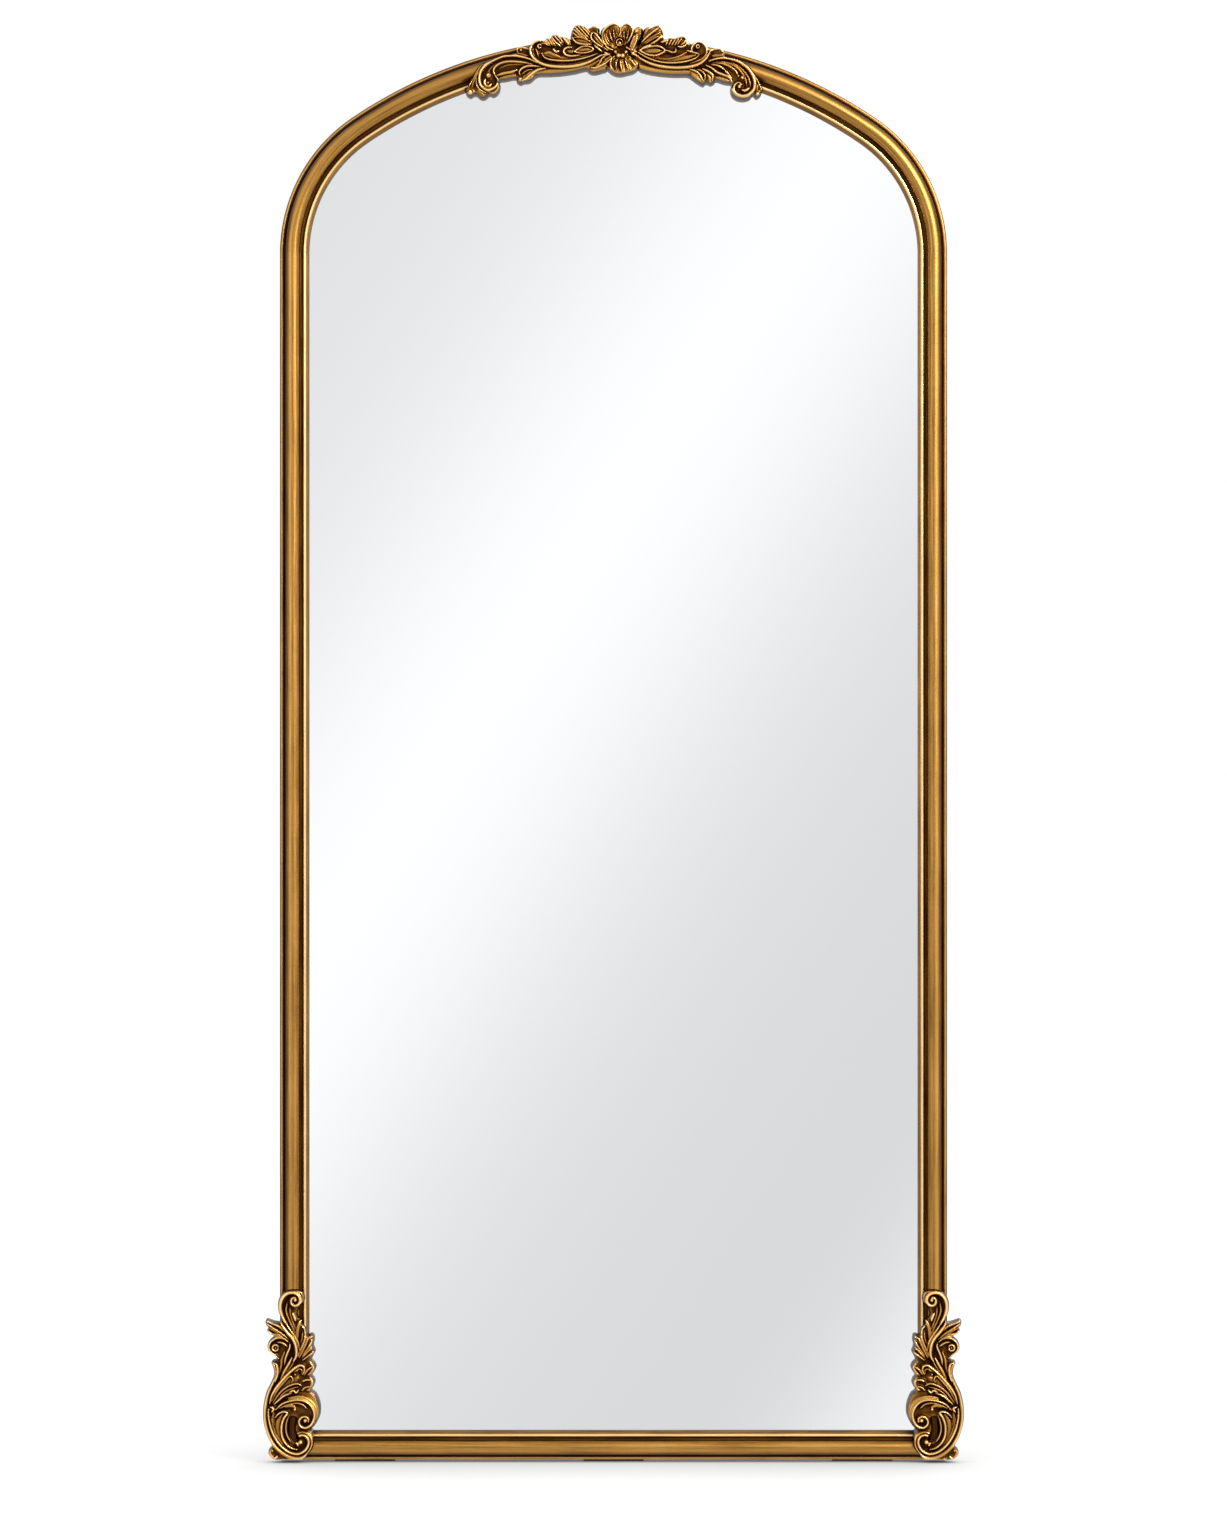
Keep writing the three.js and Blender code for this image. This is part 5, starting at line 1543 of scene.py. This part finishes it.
CORNER = """
ground 281.2,1318 279,1313 278,1305 279.5,1298 283,1293 288,1289.6 295,1288.6 300,1289.2 304,1292.2
    305.6,1297 304.6,1301.5 301.3,1305 299.4,1308.5 298.6,1314 300.8,1317.6 303,1319 303.2,1323.4
    306,1326.3 307.6,1331 308.4,1335.2 311.3,1333.8 314,1335.5 314.6,1340 313.7,1346 315.5,1351.3
    313.5,1356 311.9,1360 314.5,1363 316.3,1367 314.8,1371.3 312.2,1375.5 314.3,1379 315.3,1382.3
    314.2,1386 311.9,1389.9 316,1393.8 319,1399.8 320.7,1407 320.5,1414.5 318,1421 314.5,1426.3
    311.7,1429.2 313.5,1432.2 315,1437 314.8,1443 312.8,1448.5 309.5,1453 306,1457.3 303,1459.7
    290,1459.9 280,1460.1 275,1459.6 271,1457 268.6,1453 269.5,1449 272.1,1445.8 268,1437 265,1428
    263.4,1420 263.2,1410 264.5,1400 267,1391 271,1383 274,1375 273.7,1369 271.6,1362.8 273,1360.3
    275.6,1359.6 277,1358.2 275,1356 271,1353 268.3,1350 267.8,1345 270,1340 273,1337.4 274.6,1336
    272.5,1335.1 269,1333 267.3,1330 268.3,1328 266.3,1325 265.8,1321 267.5,1318.9 271,1319.8 276,1321.3
    280.2,1321.4
opening 2.7 0 293.6,1419 292.4,1426 293.2,1433 296.2,1437.4
hollow 4.6 .03 295.2,1412 295,1420 295.4,1429 296.6,1435
roll 2.45 .5 279.6,1308 280,1300 283.6,1294 290,1290.6 298,1290 303.4,1293.6 304,1298.4 301,1303.6
roll 1.45 .62 288,1302 287,1310 290,1319 295,1330 299,1340
roll 1.23 .5 290.6,1306 291.4,1314 294.8,1324 298.4,1332
roll 1.53 .78 293.3,1312 295,1316 296.6,1320.5
leaf 2 .7 302,1319.2 299.9,1323.5 298.3,1331 298.2,1341
roll 1.38 .56 303.6,1331 303,1338 301,1344
roll 1.76 .9 303.2,1325.6 306,1328.4 306.6,1334 305,1341 301.6,1349 299,1355.5
leaf 3.4 .42 311.4,1338 308.8,1349 303,1359
roll 1.61 .84 313.2,1335.8 309.2,1337.7 306.8,1343 303.2,1351 299.8,1357
roll 1.38 .78 313,1339.4 309.5,1346 303.2,1355
roll 1.38 .72 313.2,1345.8 308.5,1351 302.8,1357
roll 1.38 .66 314,1351.3 309,1355 303.2,1359.6
roll 2.51 .5 311.6,1361 314.3,1366 312.4,1371.6 309,1374
roll 1.53 .7 312.6,1366 308.5,1369 305,1374
roll 2.51 .5 311.6,1377 313.4,1382 311.4,1387.6 308,1389.6
roll 1.38 .68 311.8,1379 306,1379.3 301,1382.3
roll 1.3 .62 311.4,1385.4 306,1386.6 302.6,1390
hollow 1.6 .05 308.6,1382.2
hollow 1.2 .1 302.9,1381.4
roll 3.2 .36 271,1325 277,1329 286,1335
roll 1.76 .74 268.2,1320.7 274,1323 280.5,1326 287.5,1332.4
roll 1.61 .8 268.4,1323.2 275,1327.8 283,1333 289.5,1338.6
roll 1.23 .58 270,1327.4 276,1330.6 283,1335
roll 2.15 .7 268.9,1330 272,1333.4 278,1334.4 284.5,1336.4
roll 2 .82 289,1341 285.5,1338.1 280,1336.8 274.5,1338 270.6,1341.6 269.4,1346.5 271.2,1351
    275.2,1354.3 279.3,1357.6
roll 1.53 .7 277.8,1341.3 281.8,1341.6 285.5,1343.4 288.2,1345.6
ring 1.53 .88 276.4,1346.9 2.9
bead 1.3 .85 276.5,1347
roll 1.53 .82 290.6,1341.6 290.8,1346 288.6,1351.5 286.4,1357.5 285.4,1364
roll 1.53 .62 285.6,1350.5 282.9,1358 281.8,1366 279.6,1374
roll 2.45 1.08 281.4,1320.6 284,1325.6 288,1331 293,1336.6 296.2,1342.5 297.5,1349.5 296.9,1355.5
    294.4,1360.4
roll 2.22 1.02 287.4,1323 284.2,1317.3 281.9,1311 281.2,1305 282.6,1299 286,1294.3 291,1292 296,1292.4
    299.9,1295.4 301,1299.8 299.4,1303.4 296,1304.8 293,1303.4 292,1300.2 293.4,1297.4 296,1297 tips=.8,.8
roll 1.53 .95 287,1322.4 290.5,1328 295,1334.2 299,1341.5 300.4,1349
bead 2.4 1.08 296.2,1299.3
roll 1.38 .58 296,1358.6 291,1367 285,1374.4 279.5,1383
roll 1.91 .84 292.8,1356.8 289.6,1363 285.6,1370 281.6,1378
roll 4.6 .34 279,1395 287,1386 298,1377
roll 1.3 .62 277.5,1399.4 286,1391 294,1387.2 299,1386
roll 1.45 .8 272.6,1400 278,1389.6 284.5,1381.6 291.4,1375.2 293.9,1379 291.8,1381.8
roll 1.45 .76 273.6,1402 282,1390.5 291,1384.4 298.6,1382.8 302.6,1385
roll 1.61 .84 275,1403.2 285,1394.8 292.6,1392
roll 1.53 .86 290,1391.4 294.4,1389.6 297,1391.6 299.6,1388.7
bead 1.6 .74 298,1369.6
bead 1.5 .66 296,1373.6
roll 1.3 .66 294.6,1371.4 299.6,1368 303,1369.4 302.4,1372.6
roll 1.91 1.02 270.6,1402.6 272.5,1395 277,1387 283,1379.5 289.5,1372.5 296,1367 301,1364.3 304.8,1366
    305.2,1370 303.4,1373.4
roll 3.8 .74 290,1398.4 302,1397.4 310.5,1400.8 315.6,1407.6 316,1415 312.6,1422
roll 1.45 .66 289,1396.8 300,1395.4 308.4,1397.6 314.8,1403.6 317.8,1412 316.4,1419.6
roll 1.38 .7 280,1407.6 288,1403.9 296,1402.1 303,1403.4 308.3,1408
roll 1.76 .96 276.6,1408.6 283,1402.9 290,1400.2 298,1398.8 306,1400.2 312.3,1405.4 315.2,1412.6
    314.2,1419.6 310.4,1425 305,1426.7 300.9,1424.2 300,1420 302.2,1416.7 306,1415.6 309.3,1417.6
    309.2,1420.6 tips=.5,.8
bead 2.5 1.1 306.2,1419.4
leaf 1.9 .76 285,1406 291,1404.6 295.4,1406 297,1410
bead 2 .92 295.8,1408.4
roll 2.6 .42 274.4,1412 273.4,1420 276,1430 281,1440 288,1447
leaf 3.1 .56 283.5,1413 279.4,1421 279.6,1431 284,1440.6 291,1446.6
roll 1.3 .6 272.4,1418 274.4,1427 278.4,1436.8 284.4,1444.6 291,1449.6
roll 1.23 .56 290.2,1414 287.6,1420.4 286.7,1428 288.2,1435 291.8,1441
roll 1.76 .95 276,1416.6 280,1412.4 285,1410.6 288.2,1411.9 285.3,1416.4 283,1422.4 282.4,1430
    283.8,1437.2 287.7,1443.3 293,1447.2 298,1448.4
roll 2.44 .76 274,1362.8 276.5,1368 275.6,1377 271.2,1387 267.4,1398 265.7,1410 266.3,1422 270,1435
    276.5,1446 285,1453 294.5,1456.8 303.5,1456.2 310,1451 312.9,1443 311.3,1436 306,1431.7 300.5,1431.6
    296,1434.6
roll 1.68 .95 274.2,1362 277,1363 278.6,1367.6 278.4,1373.6 275.8,1381
roll 1.83 1.02 269.6,1408 269.4,1414 270.6,1422 273.4,1431 278.3,1440 284.5,1447 291.5,1451.5 299,1452.7
    305,1449.9 308.8,1444.7 309.5,1439.3 306.7,1435.1 302,1434 298.4,1436.5 297.4,1440.3 299,1444 tips=.6,.9
bead 2.9 1.1 301.4,1441
roll 1.83 .9 271.2,1405.8 274.4,1407.6 272.6,1411.4
roll 2.45 .46 272.4,1447 270.4,1451 271.6,1455.4 275.6,1458.2
bead 1.5 .6 273.4,1449.8
roll 1.38 .66 274.8,1458 278.8,1454.6
roll 1.53 .4 281,1458.6 290,1459 300,1458.8
"""


APEX_DRAWN = (613.75, 37.2)
CORNER_DRAWN = (280.0, 1460.5)


# ---- Fittings ----


@dataclass
class Screws:
    """Round-headed cross-recess screws, one for each screw node."""

    head_radius: float = 3.6 * MM
    head_height: float = 1.8 * MM
    head_edge: float = 0.5 * MM
    shank_radius: float = 1.75 * MM
    tip_length: float = 3 * MM
    sides: int = 28
    recess_reach: float = 1.75 * MM
    recess_width: float = 0.75 * MM
    recess_depth: float = 1.25 * MM
    _meshes: dict[int, bpy.types.Mesh] = field(default_factory=dict)

    def build(self) -> None:
        """Puts a screw in the place of each screw node, its recess turned at random."""
        chance = np.random.default_rng(7)
        for node in sorted(n for n in frame["nodes"] if "_screw" in n):
            low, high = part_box(node)
            shank = (high.y - self.head_height) - low.y
            screw = link(f"{node}_turned", self.mesh(shank))
            screw.location = ((low.x + high.x) / 2, low.y + shank, (low.z + high.z) / 2)
            screw.rotation_euler = (0.0, chance.uniform(0, math.pi), 0.0)
            stand_for(screw, node, ROOT, BRASS if node.startswith("hanger") else ZINC)

    def mesh(self, shank: float) -> bpy.types.Mesh:
        """Returns the screw's mesh for a shank length; screws of one length share it."""
        key = round(shank / MM * 10)
        if key not in self._meshes:
            rise = self.head_height - self.head_edge
            dome = [(self.head_radius * math.cos(a), self.head_edge + rise * math.sin(a))
                    for a in np.linspace(0.0, math.pi / 2, 6)[:-1]]
            profile = [(0.0, -shank), (self.shank_radius, self.tip_length - shank),
                       (self.shank_radius, 0.0), (0.96 * self.head_radius, 0.0),
                       (self.head_radius, 0.1 * MM), *dome, (0.0, self.head_height)]
            places, faces = lathe_rings(profile, self.sides)
            blank = new_piece("screw", places, faces)
            for turn in (0.0, math.pi / 2):
                self.cut(blank, turn)
            self._meshes[key] = blank.data
            bpy.data.objects.remove(blank)
        return self._meshes[key].copy()

    def cut(self, blank: bpy.types.Object, turn: float) -> None:
        """Cuts one bar of the cross recess into a screw blank."""
        reach, half, top = self.recess_reach, self.recess_width / 2, self.head_height + 1 * MM
        floor = self.head_height - self.recess_depth
        places = []
        for height, grow in ((floor, 0.55), (top, 1.0)):
            places += [(x * reach * grow, height, z * half * (0.5 + 0.5 * grow))
                       for x, z in ((-1, -1), (1, -1), (1, 1), (-1, 1))]
        faces = [(0, 1, 2, 3), (4, 5, 6, 7), (0, 1, 5, 4), (1, 2, 6, 5), (2, 3, 7, 6), (3, 0, 4, 7)]
        bar = new_piece("recess", places, faces)
        bar.rotation_euler = (0.0, turn, 0.0)
        bar_cut = blank.modifiers.new("recess", "BOOLEAN")
        bar_cut.object = bar
        bar_cut.solver = "EXACT"
        work = worked(blank)
        soften(work, CREASE)
        blank.modifiers.clear()
        work.to_mesh(blank.data)
        work.free()
        bpy.data.objects.remove(bar)


@dataclass
class Fittings:
    """The plates, turn buttons and hangers on the back."""

    edge: float = 0.25 * MM
    corner: float = 3 * MM
    hole_radius: float = 2.1 * MM
    bracket_width: float = 16 * MM
    button_root: float = 6 * MM
    button_tip: float = 4.5 * MM
    button_reach: float = 20 * MM
    eye_radius: float = 3.2 * MM
    bore_radius: float = 1.8 * MM
    eye_play: float = 0.3 * MM
    eye_steps: int = 36
    strap_thickness: float = 1.4 * MM
    strap_corner: float = 1.5 * MM
    wire_radius: float = 1.5 * MM
    bow_radius: float = 11 * MM
    ring_side: float = 6 * MM
    ring_corner: float = 2.5 * MM

    def build(self) -> None:
        """Builds every plate, button and hanger."""
        self.plate("crown_plate", "crown_plate_screw_")
        for side, sign in SIDES.items():
            self.plate(f"mending_plate_{side}", f"mending_screw_{side}_")
            self.bracket(side, sign)
            self.strap(side)
            self.ring(side)
        for number in range(1, 9):
            self.button(number)

    def holes(self, screws: str) -> list[list[Point]]:
        """Returns a hole for each screw node whose name starts with screws."""
        boxes = [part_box(n) for n in sorted(frame["nodes"]) if n.startswith(screws)]
        middles = [(low + high) / 2 for low, high in boxes]
        return [ring_points(m.x, m.z, self.hole_radius, 24) for m in middles]

    def press(self, node: str, outline: list[Point], screws: str, body: str = ROOT) -> None:
        """Presses a plate with holes for its screws and puts it in the place of its node.

        Args:
            node: The node.
            outline: The plate's outline in X and Z.
            screws: How the names of its screws start.
            body: The body that it rides on.
        """
        low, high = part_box(node)
        work = plate_mesh([outline, *self.holes(screws)], low.y, high.y, self.edge)
        stand_for(piece_of(f"{node}_pressed", work), node, body, ZINC)

    def plate(self, node: str, screws: str) -> None:
        """Builds a straight plate with rounded corners."""
        low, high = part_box(node)
        self.press(node, rounded_box(low.x, low.z, high.x, high.z, self.corner), screws)

    def bracket(self, side: str, sign: int) -> None:
        """Builds the corner bracket of one side."""
        low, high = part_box(f"corner_bracket_{side}")
        reach, width, corner = high.x - low.x, self.bracket_width, self.corner
        shape = [(corner, 0.0), *arc((reach - corner, corner), corner, -90, 0),
                 *arc((reach - corner, width - corner), corner, 0, 90),
                 *arc((width + corner, width + corner), corner, 270, 180),
                 *arc((width - corner, reach - corner), corner, 0, 90),
                 *arc((corner, reach - corner), corner, 90, 180), (0.0, corner)]
        outer = low.x if sign < 0 else high.x
        outline = [(outer - sign * x, low.z + z) for x, z in shape]
        self.press(f"corner_bracket_{side}", outline, f"corner_bracket_screw_{side}_")

    def button(self, number: int) -> None:
        """Builds a turn button, pointing the way that its node does."""
        node, pin = f"turn_button_{number}", f"turn_button_screw_{number}"
        pin_low, pin_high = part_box(pin)
        pivot = (pin_low + pin_high) / 2
        away = np.mean([v.co for v in frame["nodes"][node].data.vertices], 0) - np.array(pivot)
        turn = math.atan2(away[2], away[0])
        shape = [*arc((0.0, 0.0), self.button_root, 90, 270),
                 *arc((self.button_reach, 0.0), self.button_tip, -90, 90)]
        outline = [(pivot.x + x * math.cos(turn) - z * math.sin(turn),
                    pivot.z + x * math.sin(turn) + z * math.cos(turn)) for x, z in shape]
        self.press(node, outline, pin, f"button_{number}")

    def strap(self, side: str) -> None:
        """Builds the hanger strap of one side, with its rolled eye."""
        node = f"hanger_strap_{side}"
        low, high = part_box(node)
        axis_y, axis_z = high.y - self.eye_radius, high.z - self.eye_radius
        outline = rounded_box(low.x, low.z, high.x, axis_z, self.strap_corner)
        back = high.y - 2 * self.eye_radius - self.eye_play
        work = plate_mesh([outline, *self.holes(f"hanger_screw_{side}_")], back,
                          back + self.strap_thickness, self.edge)
        edge, bore, outer = self.edge, self.bore_radius, self.eye_radius
        profile = [(low.x + edge, bore), (low.x, bore + edge), (low.x, outer - edge),
                   (low.x + edge, outer), (high.x - edge, outer), (high.x, outer - edge),
                   (high.x, bore + edge), (high.x - edge, bore)]
        turns = np.linspace(0, 2 * math.pi, self.eye_steps, endpoint=False)
        rings = [[work.verts.new((x, axis_y + r * math.cos(a), axis_z + r * math.sin(a)))
                  for x, r in profile] for a in turns]
        for ring, following in zip(rings, rings[1:] + rings[:1]):
            for k in range(len(profile)):
                n = (k + 1) % len(profile)
                work.faces.new((ring[k], ring[n], following[n], following[k]))
        stand_for(piece_of(f"{node}_rolled", work), node, ROOT, ZINC)

    def ring(self, side: str) -> None:
        """Builds the hanger ring of one side as bent round wire."""
        node = f"hanger_ring_{side}"
        low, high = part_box(node)
        x, y, z = (low.x + high.x) / 2, (low.y + high.y) / 2, high.z - self.wire_radius
        bow, corner = self.bow_radius, self.ring_corner
        line = [*arc((bow - corner, -corner), corner, 90, 0),
                *arc((0.0, -self.ring_side), bow, 0, -180, 36),
                *arc((corner - bow, -corner), corner, 180, 90)]
        work = loops_mesh([[(x + px, y, z + pz) for px, pz in line]], self.wire_radius, 4)
        stand_for(piece_of(f"{node}_wire", work), node, f"ring_{side}", ZINC)


@dataclass
class RubberParts:
    """The floor pads and the wall bumpers."""

    pad_edge: float = 0.5 * MM
    bumper_edge: float = 0.8 * MM
    bumper_draft: float = 1.5 * MM
    bumper_well: float = 3.2 * MM
    sides: int = 48

    def build(self) -> None:
        """Builds three pads and two bumpers."""
        for place in ("left", "centre", "right"):
            self.pad(f"floor_pad_{place}")
        for side in SIDES:
            self.bumper(f"wall_bumper_{side}")

    def pad(self, node: str) -> None:
        """Builds a floor pad with softened edges."""
        low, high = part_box(node)
        work = bmesh.new()
        size = Matrix.Diagonal((*(high - low), 1.0))
        bmesh.ops.create_cube(work, size=1.0, matrix=Matrix.Translation((low + high) / 2) @ size)
        bmesh.ops.bevel(work, geom=work.edges[:], offset=self.pad_edge, segments=3, affect="EDGES")
        stand_for(piece_of(f"{node}_moulded", work), node, ROOT, BLACK_RUBBER)

    def bumper(self, node: str) -> None:
        """Builds a wall bumper: a drafted disc with a round edge and a sunk middle."""
        low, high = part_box(node)
        base, height = (high.x - low.x) / 2, high.y - low.y
        top, edge, well = base - self.bumper_draft, self.bumper_edge, self.bumper_well
        rim = arc((top - edge, height - edge), edge, 15, 90, 3)
        profile = [(0.0, 0.0), (0.97 * base, 0.0), (base, 0.03 * base), *rim,
                   (well + 0.4 * MM, height), (well, height - 0.3 * MM), (well, height - 2.2 * MM),
                   (0.6 * well, height - 2.6 * MM), (0.0, height - 2.6 * MM)]
        places, faces = lathe_rings(profile, self.sides)
        disc = new_piece(f"{node}_moulded", places, faces)
        disc.location = ((low.x + high.x) / 2, low.y, (low.z + high.z) / 2)
        stand_for(disc, node, ROOT, BLACK_RUBBER)


def arc(centre: Point, radius: float, start: float, end: float, steps: int = 8) -> list[Point]:
    """Returns points on an arc between two angles in degrees."""
    angles = np.radians(np.linspace(start, end, steps + 1))
    return [(centre[0] + radius * math.cos(a), centre[1] + radius * math.sin(a)) for a in angles]


def rounded_box(x0: float, z0: float, x1: float, z1: float, radius: float) -> list[Point]:
    """Returns a rectangle with rounded corners."""
    corners = ((x1 - radius, z0 + radius), (x1 - radius, z1 - radius),
               (x0 + radius, z1 - radius), (x0 + radius, z0 + radius))
    return [point for k, middle in enumerate(corners)
            for point in arc(middle, radius, 90 * k - 90, 90 * k)]


@dataclass
class Glazing:
    """The mirror plate and its backing board, which keep their own solids."""

    finishes: dict[str, Finish] = field(default_factory=lambda: {
        "mirror_glass": MIRROR_SILVER, "backing_board": BACKING})

    def build(self) -> None:
        """Dresses both boards."""
        for node, finish in self.finishes.items():
            finish.dress(frame["nodes"][node])
            LOG.info("%s keeps its solid and gets %s", node, finish.name)


# ---- Studio ----


@dataclass(frozen=True)
class SoftBand:
    """A soft band of light that the mirror shows, across a diagonal in front of it."""

    middle: float
    spread: float
    strength: float


@dataclass
class Studio:
    """The pale floor, the lights, the surroundings that the mirror shows and the camera."""

    camera_distance: float = 7.0
    camera_height: float = 0.81
    picture_height: float = 1534 * 1.1656 * MM
    sensor: float = 36.0
    face_y: float = -0.012
    floor_size: float = 30.0
    shadow_reach: float = 0.3
    ambient: float = 0.62
    surround: float = 0.8
    steep_gain: float = 0.3
    cool: Colour = (0.98, 0.99, 1.0)
    warm: Colour = (1.0, 0.998, 0.995)
    box_side: float = 0.74
    box_spread: float = 0.17
    box_strength: float = 0.5
    bands: tuple[SoftBand, ...] = (
        SoftBand(0.006, 0.245, 0.244), SoftBand(-0.175, 0.816, 0.13), SoftBand(0.886, 0.117, 0.226))
    band_level: float = 0.698
    band_turn: float = math.radians(33.7)
    band_start: Point = (-0.063, 0.206)
    band_reach: float = 0.35

    def build(self) -> None:
        """Sets up the surroundings, the floor, the lights and the camera."""
        self.surroundings()
        self.floor()
        self.light("key", (2.6, -3.6, 3.1), 1.3, 260.0, (1.0, 0.97, 0.92))
        self.light("fill", (-3.0, -3.4, 1.6), 2.2, 28.0, (0.93, 0.96, 1.0))
        self.light("rear", (1.2, 3.2, 2.6), 2.0, 60.0, WHITE)
        self.camera()
        bpy.context.scene.view_settings.view_transform = "Standard"

    def surroundings(self) -> None:
        """Makes the world: white to the camera, softly banded in reflections."""
        world = bpy.data.worlds.new("studio")
        world.use_nodes = True
        bpy.context.scene.world = world
        graph = Graph(world.node_tree)
        seen = graph.add("TexCoord").outputs["Generated"]
        ray = graph.add("SeparateXYZ", {"Vector": seen}).outputs
        forward = graph.math("MAXIMUM", graph.times(ray["Y"], -1.0), 0.02)
        x, z = (graph.math("DIVIDE", ray[axis], forward) for axis in "XZ")
        across, up = (graph.math("MULTIPLY_ADD", away, self.camera_distance, -start)
                      for away, start in zip((x, z), self.band_start))
        down = graph.times(up, -math.sin(self.band_turn))
        diagonal = graph.math("MULTIPLY_ADD", across, math.cos(self.band_turn), down)
        banded: object = self.band_level
        for band in self.bands:
            share = graph.math("DIVIDE", graph.math("SUBTRACT", diagonal, band.middle), band.spread)
            banded = graph.math("MULTIPLY_ADD", graph.bell(share), band.strength, banded)
        beside = graph.math("SUBTRACT", graph.math("ABSOLUTE", ray["X"]), self.box_side)
        box_light = graph.times(graph.bell(graph.math("DIVIDE", beside, self.box_spread)),
                                graph.math("MULTIPLY_ADD", ray["X"], 0.25, self.box_strength))
        steep = graph.math("ABSOLUTE", ray["Z"])
        plain = graph.math("MULTIPLY_ADD", steep, self.steep_gain, self.surround)
        seen_from_front = graph.span(ray["Y"], 0.1, -0.3)
        soft = graph.math("MULTIPLY_ADD", box_light, seen_from_front, plain)
        off = graph.math("SQRT", graph.math("MULTIPLY_ADD", x, x, graph.times(z, z)))
        past_bands = graph.span(off, 0.18, self.band_reach)
        around = graph.math("MULTIPLY_ADD", graph.math("SUBTRACT", soft, banded), past_bands, banded)
        tint = graph.mix(graph.span(around, 0.6, 1.0), self.cool, self.warm)
        path = graph.add("LightPath").outputs
        mirrored = graph.math("MAXIMUM", path["Is Glossy Ray"], path["Is Transmission Ray"])
        light, reflected, shown = (
            graph.add("Background", {"Color": colour, "Strength": strength}).outputs[0]
            for colour, strength in ((WHITE, self.ambient), (tint, around), (WHITE, 1.0)))
        inner = graph.add("MixShader", {0: mirrored, 1: light, 2: reflected}).outputs[0]
        outer = graph.add("MixShader", {0: path["Is Camera Ray"], 1: inner, 2: shown}).outputs[0]
        graph.add("OutputWorld", {"Surface": outer})

    def floor(self) -> None:
        """Lays a pale floor that keeps the frame's contact shadow."""
        size = self.floor_size
        mesh = bpy.data.meshes.new("floor")
        mesh.from_pydata([(-size, -size, 0), (size, -size, 0), (size, size, 0), (-size, size, 0)],
                         [], [(0, 1, 2, 3)])
        floor = link("floor", mesh)
        floor.visible_glossy = False
        made = bpy.data.materials.new("Pale floor")
        made.use_nodes = True
        graph = Graph(made.node_tree)
        near = graph.add("AmbientOcclusion", {"Distance": self.shadow_reach}, samples=16)
        shade = graph.times(graph.math("POWER", near.outputs["AO"], 0.78), 0.96)
        camera_ray = graph.add("LightPath").outputs["Is Camera Ray"]
        grey = graph.span(camera_ray, 0.0, 1.0, 0.7, 0.1)
        pale = graph.add("CombineColor", {0: grey, 1: grey, 2: grey})
        shader = graph.add("BsdfPrincipled", {
            "Base Color": pale.outputs[0], "Roughness": 0.9, "Specular IOR Level": 0.0,
            "Emission Color": WHITE, "Emission Strength": graph.times(shade, camera_ray)})
        graph.add("OutputMaterial", {"Surface": shader.outputs[0]})
        mesh.materials.append(made)

    def light(self, name: str, place: tuple, size: float, power: float, colour: Colour) -> None:
        """Hangs a square light that faces the frame's middle."""
        lamp = bpy.data.lights.new(name, "AREA")
        lamp.size, lamp.energy, lamp.color = size, power, colour
        holder = link(name, lamp)
        holder.location = place
        aim = Vector((0.0, 0.0, self.camera_height)) - Vector(place)
        holder.rotation_euler = aim.to_track_quat("-Z", "Y").to_euler()

    def camera(self) -> None:
        """Places the camera level, square to the frame."""
        lens = bpy.data.cameras.new("camera")
        lens.sensor_width = self.sensor
        lens.lens = self.sensor * self.camera_distance / self.picture_height
        holder = link("camera", lens)
        holder.location = (0.0, self.face_y - self.camera_distance, self.camera_height)
        holder.rotation_euler = (math.pi / 2, 0.0, 0.0)
        bpy.context.scene.camera = holder


def main() -> None:
    """Builds the mirror's pieces in order, then the studio."""
    for thing in list(bpy.context.scene.objects):
        if thing.type in {"CAMERA", "LIGHT"} or thing.name == "Cube":
            bpy.data.objects.remove(thing)
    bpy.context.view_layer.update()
    outline = ArchedOutline(
        half_width=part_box("right_stile")[1].x,
        foot=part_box("bottom_rail")[0].z,
        spring=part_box("left_stile")[1].z,
        apex=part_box("arch_left")[1].z,
    )
    moulding = MouldedFrame(outline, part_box("left_stile")[1].y)
    moulding.build()
    apex = (0.0, outline.apex)
    corner = (-outline.half_width, outline.foot)
    for node, drawing in (("crest_spray_left", LEFT_SPRAY), ("crest_spray_right", RIGHT_SPRAY),
                          ("crest_flower", FLOWER)):
        Carving(node, Drawing.read(drawing), APEX_DRAWN, apex).build(moulding)
    Carving("corner_ornament_left", Drawing.read(CORNER), CORNER_DRAWN, corner).build(
        moulding, "corner_ornament_right")
    Glazing().build()
    Fittings().build()
    Screws().build()
    RubberParts().build()
    Studio().build()


if __name__ == "__main__":
    logging.basicConfig(level=logging.INFO, format="%(message)s")
    main()
